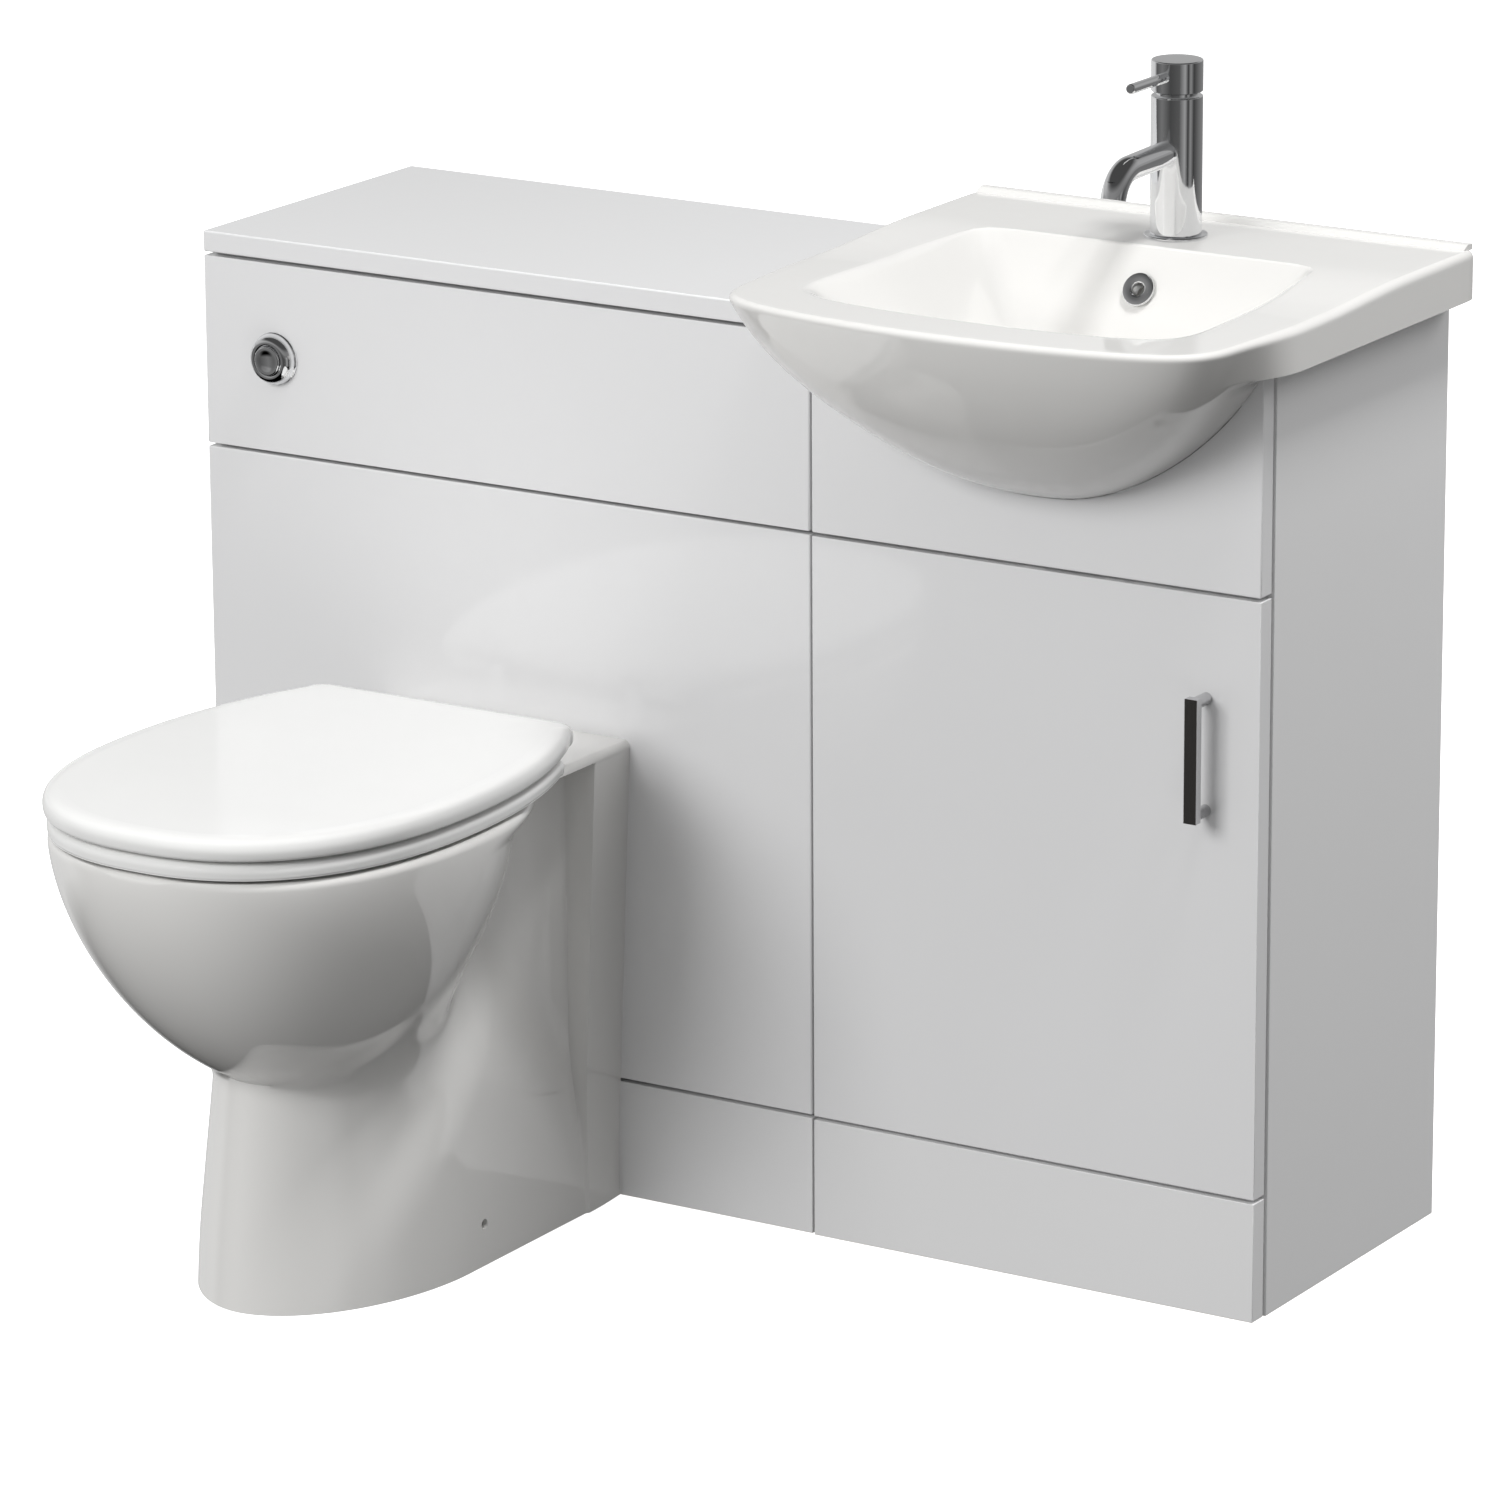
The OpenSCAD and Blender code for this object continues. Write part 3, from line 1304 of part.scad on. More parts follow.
// from the spout's root to its outlet: places the children on the outlet's face
spout_straight = spout_reach - spout_bend * sin(spout_turn);
module at_outlet() {
  translate([0, 0, spout_z]) rotate([spout_fall, 0, 0]) translate([0, -spout_straight, -spout_bend])
    rotate([spout_turn, 0, 0]) translate([0, 0, spout_bend]) rotate([90, 0, 0]) children();
}

// straight part of the spout, from the distance root, and its bend, as a solid of radius r
module spout_core(r, root, turned) {
  translate([0, 0, spout_z]) rotate([spout_fall, 0, 0]) union() {
    translate([0, -root, 0]) rotate([90, 0, 0]) cylinder(h = spout_straight - root, r = r);
    translate([0, -spout_straight, -spout_bend]) rotate([0, -90, 180]) rotate_extrude(angle = turned)
      translate([spout_bend, 0]) circle(r);
  }
}

module tap_body() {
  bore = spout_d / 2 - spout_wall;
  color(chrome) translate([van_mid, tap_y, deck_z]) difference() {
    union() {
      translate([0, 0, base_h]) cylinder(h = body_top - deck_z - base_h - 1, r = tap_r);
      translate([0, 0, body_top - deck_z - 1]) cylinder(h = 1, r1 = tap_r, r2 = tap_r - 1);
      spout_core(spout_d / 2, 0, spout_turn);
    }
    spout_core(bore, tap_r - 4, spout_turn + 3);
    translate([0, -9, base_h - eps]) cylinder(h = 14, r = 3);
    translate([0, 0, body_top - deck_z - 12]) cylinder(h = 13, r = 5 + run_fit);
  }
}

module tap_aerator() {
  color(steel) translate([van_mid, tap_y, deck_z]) at_outlet() translate([0, 0, -3.6]) difference() {
    cylinder(h = 3, r = spout_d / 2 - spout_wall - clear);
    for (ring = [[0, 1], [3, 6], [5.8, 12]], k = [1 : ring[1]])
      rotate([0, 0, 360 * k / ring[1]]) translate([ring[0], 0, -1]) cylinder(h = 5, r = 0.8);
  }
}

// spindle of the cartridge: it turns with the cap, whose boss sits on its head
spindle_top = body_top + 8;
module tap_spindle() {
  color(steel) translate([van_mid, tap_y, 0]) union() {
    rod_z(0, 0, body_top - 12 + clear, spindle_top, 5);
    rod_z(0, 0, body_top + clear, spindle_top, 9);
  }
}

module tap_cap() {
  lever_z = cap_z1 - 12;
  color(chrome) translate([van_mid, tap_y, 0]) difference() {
    union() {
      rod_z(0, 0, cap_z0, cap_z1 - 1, tap_r);
      translate([0, 0, cap_z1 - 1]) cylinder(h = 1, r1 = tap_r, r2 = tap_r - 1);
      rod_y(0, lever_z, -lever_len + 0.8, 0, lever_d / 2);
      translate([0, -lever_len + 0.8, lever_z]) rotate([90, 0, 0])
        cylinder(h = 0.8, r1 = lever_d / 2, r2 = lever_d / 2 - 0.8);
    }
    difference() {
      rod_z(0, 0, cap_z0 - eps, cap_z0 + 18, tap_r - 2.5);
      rod_z(0, 0, spindle_top + clear, cap_z0 + 19, 8);
    }
  }
}

// stud, horseshoe washer and nut under the basin's deck
module tap_fixing() {
  color(steel) translate([van_mid, tap_y, 0]) union() {
    rod_z(0, -9, top_z - 34, tap_z0 + 13, 3);
    difference() {
      rod_z(0, 0, top_z - 3, top_z, tap_hole_d / 2 + 4);
      translate([-11, -3, top_z - 4]) cube([22, 40, 5]);
    }
    translate([0, -9, top_z - 11]) cylinder(h = 8, r = 7, $fn = 6);
  }
}

// two braided tails from the tap's foot to the supply pipes
tail_hose_r = 4.5;
union_z = 470;
union_h = 24;
// height at a share of the way down from the worktop's level to the union nuts
function fall_z(share) = mix(top_z, union_z, share);
module tap_tails() {
  color([0.7, 0.7, 0.72]) for (s = [-1, 1]) {
    end_x = van_mid + s * supply_pitch / 2;
    path = [
      [van_mid + s * 6.5, tap_y + 6, tap_z0], [van_mid + s * 6.5, tap_y + 6, fall_z(0.06)],
      [van_mid + s * 12, tap_y + 10, fall_z(0.26)], [mix(van_mid, end_x, 0.5), tap_y + 24, fall_z(0.48)],
      [mix(van_mid, end_x, 0.88), supply_y - 4, fall_z(0.67)], [end_x, supply_y, fall_z(0.81)],
      [end_x, supply_y, union_z + union_h]
    ];
    hose(spline(path, 4), tail_hose_r);
  }
}

// copper supply pipes up from the floor, each with its union nut: two for the tap, one for the cistern
module supply_pipes() {
  color(copper) union() {
    for (s = [-1, 1]) {
      x = van_mid + s * supply_pitch / 2;
      rod_z(x, supply_y, 0, union_z, supply_r);
      translate([x, supply_y, union_z]) cylinder(h = union_h, r = 13, $fn = 6);
    }
    rod_z(fill_x, valve_y, 0, fill_tail_z - union_h, supply_r);
    translate([fill_x, valve_y, fill_tail_z - union_h]) cylinder(h = union_h, r = 14, $fn = 6);
  }
}

// ------------------------------------------------------------------- placement

// middle of the footprint, from the lid's tip to the wall and from side to side
box_x1 = max(van_x1, van_mid + basin_w / 2);
box_y0 = min(bowl_mid - seat_front, -pan_proj, van_front_y - handle_stand);
module placed() {
  translate([-box_x1 / 2, -(box_y0 + unit_d) / 2, 0]) children();
}

placed() wc_side_left();
placed() wc_side_right();
placed() wc_back_rails();
placed() wc_front_rails();
placed() wc_upper_front();
placed() wc_lower_front();
placed() wc_plinth();
placed() worktop();
placed() cistern_tank();
placed() cistern_lid();
placed() fill_valve();
placed() float_cup();
placed() flush_valve();
placed() flush_plunger();
placed() flush_pipe();
placed() flush_cone();
placed() air_hose();
placed() button_bezel();
placed() flush_button();
placed() button_spring();
placed() button_cylinder();
placed() cistern_screws();
placed() pan();
placed() soil_connector();
placed() pan_brackets();
placed() pan_screws();
placed() seat_ring();
placed() seat_lid();
placed() seat_buffers();
placed() lid_buffers();
placed() hinge_posts();
placed() hinge_pins();
placed() van_side_left();
placed() van_side_right();
placed() van_base();
placed() van_back_rails();
placed() van_front_rail();
placed() van_upper_front();
placed() van_plinth();
placed() door();
placed() hinge_cups();
placed() hinge_arms();
placed() door_handle();
placed() handle_screws();
placed() door_buffers();
placed() basin();
placed() overflow_ring();
placed() basin_waste();
placed() waste_plug();
placed() bottle_trap();
placed() trap_cup();
placed() waste_pipe();
placed() tap_body();
placed() tap_base_ring();
placed() tap_aerator();
placed() tap_spindle();
placed() tap_cap();
placed() tap_fixing();
placed() tap_tails();
placed() supply_pipes();
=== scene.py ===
"""Toilet and basin combination unit: cabinets, pan with seat, basin with tap, and the insides."""

import math

import bmesh
import bpy
import numpy as np
from mathutils import Matrix, Vector


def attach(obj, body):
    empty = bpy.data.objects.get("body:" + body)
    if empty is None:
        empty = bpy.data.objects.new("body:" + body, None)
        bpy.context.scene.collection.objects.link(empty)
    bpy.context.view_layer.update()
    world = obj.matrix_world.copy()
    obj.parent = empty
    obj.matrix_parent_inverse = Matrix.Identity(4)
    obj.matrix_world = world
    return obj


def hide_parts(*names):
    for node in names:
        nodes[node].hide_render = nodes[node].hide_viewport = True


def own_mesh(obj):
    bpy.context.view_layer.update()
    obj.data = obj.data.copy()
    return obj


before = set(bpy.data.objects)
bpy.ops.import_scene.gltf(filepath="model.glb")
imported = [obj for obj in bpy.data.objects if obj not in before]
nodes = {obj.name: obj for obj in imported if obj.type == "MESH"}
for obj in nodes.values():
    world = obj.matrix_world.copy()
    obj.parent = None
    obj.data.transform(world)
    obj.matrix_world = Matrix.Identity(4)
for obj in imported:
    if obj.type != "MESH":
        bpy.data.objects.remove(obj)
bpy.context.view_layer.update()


# ---------------------------------------------------------------- cabinet boards
# Side panels, rails, base and plinths are 18 mm melamine-faced chipboard, glued and dowelled.
# The edges that show are banded in white; those against the wall and the floor stay raw.

WALL = 0.4185
BOARD_WHITE, BOARD_SHADE = (0.82, 0.82, 0.82, 1), (0.80, 0.80, 0.805, 1)
CHIPS = [
    (0.0, (0.30, 0.19, 0.10, 1)), (0.45, (0.50, 0.36, 0.22, 1)), (1.0, (0.66, 0.52, 0.36, 1)),
]


class Wire:
    """One socket of a finish, which can be used in arithmetic."""

    def __init__(self, finish, socket):
        self.finish, self.socket = finish, socket

    def _math(self, operation, a, b):
        return self.finish.node("ShaderNodeMath", {"operation": operation}, {0: a, 1: b})

    def apply(self, operation, other=0.0):
        """Any other operation of the Math node, such as SINE or MAXIMUM."""
        return self._math(operation, self, other)

    def __add__(self, other):
        return self._math("ADD", self, other)

    def __radd__(self, other):
        return self._math("ADD", other, self)

    def __sub__(self, other):
        return self._math("SUBTRACT", self, other)

    def __rsub__(self, other):
        return self._math("SUBTRACT", other, self)

    def __mul__(self, other):
        return self._math("MULTIPLY", self, other)

    def __rmul__(self, other):
        return self._math("MULTIPLY", other, self)

    def __gt__(self, other):
        return self._math("GREATER_THAN", self, other)

    def __lt__(self, other):
        return self._math("LESS_THAN", self, other)


class Finish:
    """A material's nodes: what each makes is a Wire, and made() joins them to the surface."""

    def __init__(self, name):
        self.material = bpy.data.materials.new(name)
        self.material.use_nodes = True
        self.tree = self.material.node_tree
        self.tree.nodes.clear()
        self.where = self.node("ShaderNodeTexCoord", {}, {}, "Object")

    def node(self, kind, settings, sockets, output=0):
        made = self.tree.nodes.new(kind)
        for key, value in settings.items():
            if key == "stops":
                ramp = made.color_ramp
                while len(ramp.elements) < len(value):
                    ramp.elements.new(1.0)
                for element, (place, colour) in zip(ramp.elements, value):
                    element.position, element.color = place, colour
            else:
                setattr(made, key, value)
        for key, value in sockets.items():
            if isinstance(value, Wire):
                self.tree.links.new(value.socket, made.inputs[key])
            else:
                made.inputs[key].default_value = value
        return Wire(self, made.outputs[output])

    def noise(self, scale, detail=2.0, stretch=(1, 1, 1)):
        at = self.node("ShaderNodeMapping", {}, {"Vector": self.where, "Scale": stretch})
        cloud = {"Vector": at, "Scale": scale, "Detail": detail}
        return self.node("ShaderNodeTexNoise", {}, cloud, "Fac")

    def cells(self, scale):
        """A random tone for each cell, as chips and spangles have it."""
        pattern = {"Vector": self.where, "Scale": scale}
        return self.part("X", self.node("ShaderNodeTexVoronoi", {}, pattern, "Color"))

    def part(self, axis, vector=None):
        return self.node("ShaderNodeSeparateXYZ", {}, {0: vector or self.where}, axis)

    def between(self, a, b, share):
        return self.node("ShaderNodeMix", {"data_type": "RGBA"}, {0: share, 6: a, 7: b}, 2)

    def bumps(self, height, distance):
        return self.node("ShaderNodeBump", {}, {"Height": height, "Distance": distance})

    def made(self, **sockets):
        sockets = {key.replace("_", " "): value for key, value in sockets.items()}
        shader = self.node("ShaderNodeBsdfPrincipled", {}, sockets)
        out = self.tree.nodes.new("ShaderNodeOutputMaterial")
        self.tree.links.new(shader.socket, out.inputs["Surface"])
        return self.material


melamine = Finish("melamine_board")
raw = ((melamine.part("Y") > WALL - 0.0002) + (melamine.part("Z") < 0.0004)) > 0.5
chip_tone = melamine.cells(420)
chip_colour = melamine.node("ShaderNodeValToRGB", {"stops": CHIPS}, {"Fac": chip_tone}, "Color")
board_tone = melamine.between(BOARD_WHITE, BOARD_SHADE, melamine.noise(9, 3) * 0.5)
melamine_board = melamine.made(
    Base_Color=melamine.between(board_tone, chip_colour, raw),
    Roughness=0.36 + melamine.noise(160, 3) * 0.1 + raw * 0.4,
    Normal=melamine.bumps(melamine.noise(1500, 2) + raw * chip_tone * 4, 0.00004),
)


def merged_copy(node):
    """A copy of a CAD node's mesh with its loose triangles joined into faces."""
    work = bmesh.new()
    work.from_mesh(nodes[node].data)
    bmesh.ops.remove_doubles(work, verts=work.verts, dist=2e-6)
    flat = math.radians(0.3)
    bmesh.ops.dissolve_limit(work, angle_limit=flat, verts=work.verts, edges=work.edges)
    return work


def linked(name, data):
    made = bpy.data.objects.new(name, data)
    bpy.context.scene.collection.objects.link(made)
    return made


def mounted(made, body, stands_for):
    """Puts a finished object on its body, in place of the CAD piece that it stands for."""
    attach(made, body)
    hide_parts(stands_for)


def shaded(mesh, edge_angle):
    """Smooth shading, with an edge where the surface turns by more than an angle."""
    mesh.shade_smooth()
    mesh.set_sharp_from_angle(angle=math.radians(edge_angle))


def piece(name, work, material, body, stands_for, edge_angle=40):
    """The finished object of a mesh, on its body."""
    mesh = bpy.data.meshes.new(name)
    work.to_mesh(mesh)
    work.free()
    shaded(mesh, edge_angle)
    mesh.materials.append(material)
    made = linked(name, mesh)
    mounted(made, body, stands_for)
    return made


def ease_edges(made, radius):
    """Rounds a piece's sharp edges, as sanding and lacquer do."""
    ease = made.modifiers.new("eased_edges", "BEVEL")
    ease.width, ease.segments, ease.limit_method = radius, 3, "ANGLE"
    ease.angle_limit = math.radians(50)
    return made


def softened(node, radius, material, body="unit"):
    """A CAD piece with its sharp edges eased, as cut board and pressed metal have them."""
    ease_edges(piece(node + "_finished", merged_copy(node), material, body, node), radius)


for node in (
    "wc_side_left", "wc_side_right", "wc_back_rails", "wc_front_rails", "wc_plinth",
    "van_side_left", "van_side_right", "van_base", "van_back_rails", "van_front_rail",
    "van_plinth",
):
    softened(node, 0.0007, melamine_board)


# ------------------------------------------------------------- fronts and worktop
# The fronts, the door and the worktop are high-gloss lacquered board, wrapped over eased edges.
# The lacquer lies a little uneven, so that what it mirrors is soft. The basin unit's upper
# front follows further on, with the basin that shapes its cut-out.

LACQUER_WHITE, LACQUER_SHADE = (0.83, 0.83, 0.835, 1), (0.81, 0.81, 0.815, 1)


def even_finish(name, tone, other_tone, clouds, gloss, grain, **sockets):
    """A finish that drifts a little between two tones. clouds are a noise's scale and detail;
    gloss is the least roughness, its spread, and its noise's scale and detail; grain is the
    bumps' scale and depth in metres."""
    finish = Finish(name)
    rough, spread, *patches = gloss
    return finish.made(
        Base_Color=finish.between(tone, other_tone, finish.noise(*clouds)),
        Roughness=rough + finish.noise(*patches) * spread,
        Normal=finish.bumps(finish.noise(grain[0], 2), grain[1]),
        **sockets,
    )


gloss_lacquer = even_finish(
    "gloss_lacquer", LACQUER_WHITE, LACQUER_SHADE, (4, 2), (0.1, 0.04, 60, 3), (140, 0.00002),
    Coat_Weight=0.8, Coat_Roughness=0.03,
)
for node in ("wc_upper_front", "wc_lower_front", "worktop"):
    softened(node, 0.0014, gloss_lacquer)
softened("door", 0.0014, gloss_lacquer, "door")


# ------------------------------------------------------------------- the cistern
# A concealed cistern of moulded plastic hangs on the middle rail behind the upper front.
# Its lid lifts off; the valves stand inside, and the flush pipe runs down to the pan.

cistern_plastic = even_finish(
    "cistern_plastic", (0.62, 0.63, 0.64, 1), (0.70, 0.71, 0.72, 1), (14, 3),
    (0.5, 0.15, 240, 2), (900, 0.00006),
)
white_fitting = even_finish(
    "white_fitting", (0.74, 0.74, 0.73, 1), (0.80, 0.80, 0.79, 1), (30, 2),
    (0.34, 0.12, 300, 2), (1200, 0.00003),
)
grey_fitting = even_finish(
    "grey_fitting", (0.13, 0.14, 0.15, 1), (0.19, 0.20, 0.21, 1), (40, 2),
    (0.42, 0.14, 400, 2), (1400, 0.00003),
)
black_rubber = even_finish(
    "black_rubber", (0.012, 0.012, 0.012, 1), (0.03, 0.03, 0.03, 1), (90, 3),
    (0.62, 0.2, 500, 2), (1600, 0.00008),
)
zinc_finish = Finish("zinc_steel")
zinc_steel = zinc_finish.made(
    Base_Color=zinc_finish.between(
        (0.46, 0.47, 0.49, 1), (0.60, 0.61, 0.63, 1), zinc_finish.cells(300)
    ),
    Metallic=1.0,
    Roughness=0.28 + zinc_finish.noise(500, 3) * 0.16,
    Normal=zinc_finish.bumps(zinc_finish.noise(1800, 2), 0.00002),
)


def dressed(material, *names):
    """A CAD piece whose shape is right keeps it and gets its finish."""
    for name in names:
        nodes[name].data.materials.clear()
        nodes[name].data.materials.append(material)


dressed(cistern_plastic, "cistern_tank", "cistern_lid")
dressed(white_fitting, "fill_valve", "flush_valve", "flush_pipe", "button_cylinder")
dressed(grey_fitting, "float_cup", "flush_plunger")
dressed(black_rubber, "flush_cone", "air_hose")
dressed(zinc_steel, "cistern_screws", "button_spring")


# --------------------------------------------------------------- the flush button
# The push button, its domed bezel and the tap are brass, polished and chrome-plated. From here
# on, meshes are drawn in the part's millimetres, which PLACE turns into the frame's metres.

PLACE = Matrix.Translation((-0.51975, 0.1085, 0)) @ Matrix.Scale(0.001, 4)
BUTTON_X, BUTTON_Z = 72, 682
polished_chrome = even_finish(
    "polished_chrome", (0.86, 0.87, 0.88, 1), (0.90, 0.90, 0.91, 1), (20, 2),
    (0.035, 0.03, 90, 3), (200, 0.000004), Metallic=1.0,
)


def turned(profile, matrix, steps=96):
    """A solid turned round its own Z axis from a profile of (radius, height)."""
    work = bmesh.new()
    rings = []
    for radius, height in profile:
        if radius < 1e-6:
            rings.append([work.verts.new(matrix @ Vector((0, 0, height)))])
        else:
            rings.append([
                work.verts.new(matrix @ Vector((radius * math.cos(a), radius * math.sin(a), height)))
                for a in (2 * math.pi * k / steps for k in range(steps))
            ])
    faces = []
    for low, high in zip(rings, rings[1:] + rings[:1]):
        if len(low) == 1 and len(high) == 1:
            continue
        for k in range(steps):
            n = k + 1
            ring = [
                low[k % len(low)], low[n % len(low)], high[n % len(high)], high[k % len(high)],
            ]
            faces.append(work.faces.new(list(dict.fromkeys(ring))))
    bmesh.ops.recalc_face_normals(work, faces=faces)
    return work


def arc(centre, radius, start, end, steps):
    """Points of a profile's rounding, from one angle to another."""
    return [
        (centre[0] + radius * math.cos(a), centre[1] + radius * math.sin(a))
        for a in (math.radians(start + (end - start) * k / steps) for k in range(steps + 1))
    ]


def chromed(name, profile, matrix, body, stands_for, steps=96, edge_angle=50):
    """A turned piece, chrome-plated."""
    work = turned(profile, matrix, steps)
    return piece(name, work, polished_chrome, body, stands_for, edge_angle)


BUTTON = (
    PLACE @ Matrix.Translation((BUTTON_X, 0, BUTTON_Z)) @ Matrix.Rotation(math.pi / 2, 4, "X")
)
dome = [
    (14.8 + 6.7 * math.cos(a), 2 + 10 * math.sin(a))
    for a in (math.pi / 2 * k / 14 for k in range(1, 14))
]
bezel = [(12.8, 0), (22.5, 0)] + arc((22.0, 1.5), 0.5, 0, 60, 3) + dome
bezel += [(14.0, 12.0), (12.8, 11.2)]
chromed("bezel_turned", bezel, BUTTON, "unit", "button_bezel")
button = [(0, -30), (8.7, -30), (8.7, -26), (4, -26), (4, -2), (12.5, -2), (12.5, 11.2)]
button += arc((11.3, 12.3), 1.2, 0, 90, 5) + [(9.2, 13.3), (7.0, 12.7), (3.5, 12.0), (0, 11.9)]
chromed("button_turned", button, BUTTON, "flush_button", "flush_button")


# ----------------------------------------------------------------------- the pan
# Vitreous china, slip-cast in one piece and glazed all over. A round bowl stands on a foot
# that narrows at the neck; behind the bowl, under the deck, a hollow ends in a curved edge on
# the foot's shoulder, and a flange stands against the lower front.

PAN_X, PAN_H, RIM_Z = 300, 400.0, 398.0
BOWL_MID, BOWL_FRONT, BOWL_REAR, BOWL_HALF = -299.0, 224.0, 171.0, 175
BOWL_DEEP, BOWL_ROUND = 235, 1.67  # from the rim down, power of the profile
FOOT_HALF, FOOT_MID, FOOT_CORE = 110, -230, -196  # the core is the hollow in the foot
DECK_HALF, DECK_FRONT = 123, -200
FLANGE_FOOT, FLANGE_TOP, FLANGE_FRONT = 212, 246, -65  # width at floor and top, start
RIM_ROUND = 6.5
glazed_china = even_finish(
    "glazed_china", (0.80, 0.793, 0.775, 1), (0.775, 0.768, 0.75, 1), (7, 2),
    (0.055, 0.04, 40, 3), (30, 0.00006), Coat_Weight=0.6, Coat_Roughness=0.03,
)


def eased(t):
    t = np.clip(t, 0, 1)
    return t * t * (3 - 2 * t)


def quarter(share, power):
    """Half width that is left of a superellipse at a share of its length."""
    return np.maximum(0, 1 - np.minimum(1, np.abs(share)) ** power) ** (1 / power)


def blended(a, b, k):
    """The larger of two half widths, with a soft hollow where they meet."""
    reach = np.maximum(0.01, np.minimum(k, 0.7 * np.maximum(a, b)))
    over = np.maximum(reach - np.abs(a - b), 0) / reach
    return np.maximum(a, b) + over * over * reach / 4


def bowl_share(z):
    """Size of the bowl's outside at a height, as a share of its size at the rim."""
    drop = min(1.0, max(0.0, (RIM_Z - z) / BOWL_DEEP))
    return max(0.0, 1 - drop ** BOWL_ROUND) ** (1 / BOWL_ROUND)


def toe(z):
    """Y of the foot's front at a height."""
    return -402 + 22 * z / 185


def shoulder_z(y):
    """Height of the curved edge where the foot's shoulder meets the hollow."""
    return 222 - 1.217 * (y + 98) - 0.00482 * (y + 98) ** 2


def pan_half(y, z):
    """Half width of the pan along its length at a height."""
    share = max(0.001, bowl_share(z))
    front = y < BOWL_MID
    in_deck = float(eased((z - 380) / 13))
    along = (y - BOWL_MID) / (share * np.where(front, BOWL_FRONT, BOWL_REAR + 50 * in_deck))
    bowl = BOWL_HALF * share * np.where(front, quarter(along, 2.28), quarter(along, 2.0))
    below = np.clip((shoulder_z(y) - z) / 150, 0, 1)
    below = below * below / (below + 0.04) * 1.04
    scooped = (1 - np.minimum(1, below)) ** 1.6 * eased((y + 250) / 60)
    swollen = eased((y + 195 + 0.9 * (210 - z)) / 80 + 0.5) * (1 - scooped)
    hollow = 70 + 27 * np.clip((y + 150) / 95, 0, 1) ** 2
    foot = FOOT_HALF - 19 * eased(z / 260) * (1 - 0.85 * swollen)
    foot = foot + (hollow - foot) * scooped
    nose = quarter((y - FOOT_MID) / (FOOT_MID - toe(z)), 1.9)
    foot = foot * np.where(y > FOOT_MID, 1.0, nose)
    flange = (FLANGE_FOOT + (FLANGE_TOP - FLANGE_FOOT) * z / PAN_H) / 2
    flange = flange * eased((y - FLANGE_FRONT) / 12)
    deck = DECK_HALF * in_deck * (y > DECK_FRONT)
    return blended(blended(bowl, foot, 46), np.maximum(flange, deck), 14)


def pan_outline(z, inset):
    """Plan of the pan at a height, pulled in by inset: nose, right side, back, left side."""
    level = min(z, RIM_Z)
    nose = min(BOWL_MID - BOWL_FRONT * bowl_share(level), toe(level)) + inset
    swing = np.linspace(0, math.pi / 2, 34)[1:]
    y = np.concatenate([
        BOWL_MID + (nose - BOWL_MID) * np.cos(swing), np.linspace(BOWL_MID, -74, 84)[1:],
        np.linspace(-71, -47, 13), np.linspace(-43, 0, 8),
    ])
    x = np.maximum(1, pan_half(y, level) - inset)
    back = np.linspace(x[-1], -x[-1], 14)[1:-1]
    xs = np.concatenate([[0], x, back, -x[::-1]])
    ys = np.concatenate([[nose], y, np.zeros(12), y[::-1]])
    return np.stack([PAN_X + xs, ys], 1)


def at_height(plan, z):
    return np.column_stack([plan, np.full(len(plan), float(z))])


def skin(rings, closed=True):
    """A skin over rings of equal count: closed at both ends, or else joined to itself."""
    work = bmesh.new()
    grid = [[work.verts.new(PLACE @ Vector(p)) for p in ring] for ring in rings]
    count = len(grid[0])
    for low, high in zip(grid, grid[1:] if closed else grid[1:] + grid[:1]):
        for k in range(count):
            n = (k + 1) % count
            work.faces.new([low[k], low[n], high[n], high[k]])
    if closed:
        work.faces.new(grid[0][::-1])
        work.faces.new(grid[-1])
    return work


def curve_through(points, steps):
    """Catmull-Rom curve through points, as a list."""
    p = np.array(points, float)
    last = len(p) - 1
    out = []
    for i in range(last):
        a, b, c, d = p[max(0, i - 1)], p[i], p[i + 1], p[min(last, i + 2)]
        for k in range(steps):
            t = k / steps
            out.append(0.5 * (
                2 * b + (c - a) * t + (2 * a - 5 * b + 4 * c - d) * t * t
                + (3 * b - a - 3 * c + d) * t ** 3
            ))
    return out + [p[-1]]


pan_top = pan_outline(PAN_H, RIM_ROUND)
top_turn = np.arctan2(pan_top[:, 1] - BOWL_MID, pan_top[:, 0] - PAN_X)


def bowl_plan(scale):
    """Plan of the bowl's inside, an egg with its blunt end to the rear."""
    c, s = np.cos(top_turn), np.sin(top_turn)
    half = np.abs(c / (130 * scale))
    front = (half ** 2.2 + np.abs(s / (179 * scale)) ** 2.2) ** (-1 / 2.2)
    r = np.where(s < 0, front, (half ** 2 + np.abs(s / (133 * scale)) ** 2) ** -0.5)
    return np.stack([PAN_X + r * c, BOWL_MID + r * s], 1)


core = np.array((PAN_X, FOOT_CORE))
foot_plan = pan_outline(0, 0) - core
foot_turn = np.arctan2(foot_plan[:, 1], foot_plan[:, 0])
hollow_r = (np.abs(np.cos(foot_turn) / 90) ** 5 + np.abs(np.sin(foot_turn) / 80) ** 5) ** -0.2
hollow = hollow_r[:, None] * np.stack([np.cos(foot_turn), np.sin(foot_turn)], 1)
rings = [
    at_height(core + hollow * 0.4, 74), at_height(core + hollow, 74), at_height(core + hollow, 0),
]
rim_start = PAN_H - RIM_ROUND
for z in (*np.linspace(0, 160, 26), *np.linspace(163, 376, 60), *np.linspace(378, rim_start, 12)):
    rings.append(at_height(pan_outline(z, 0), z))
for a in (math.pi / 2 * k / 8 for k in range(1, 9)):
    z = rim_start + RIM_ROUND * math.sin(a)
    rings.append(at_height(pan_outline(z, RIM_ROUND - RIM_ROUND * math.cos(a)), z))
opening = bowl_plan(1.085)
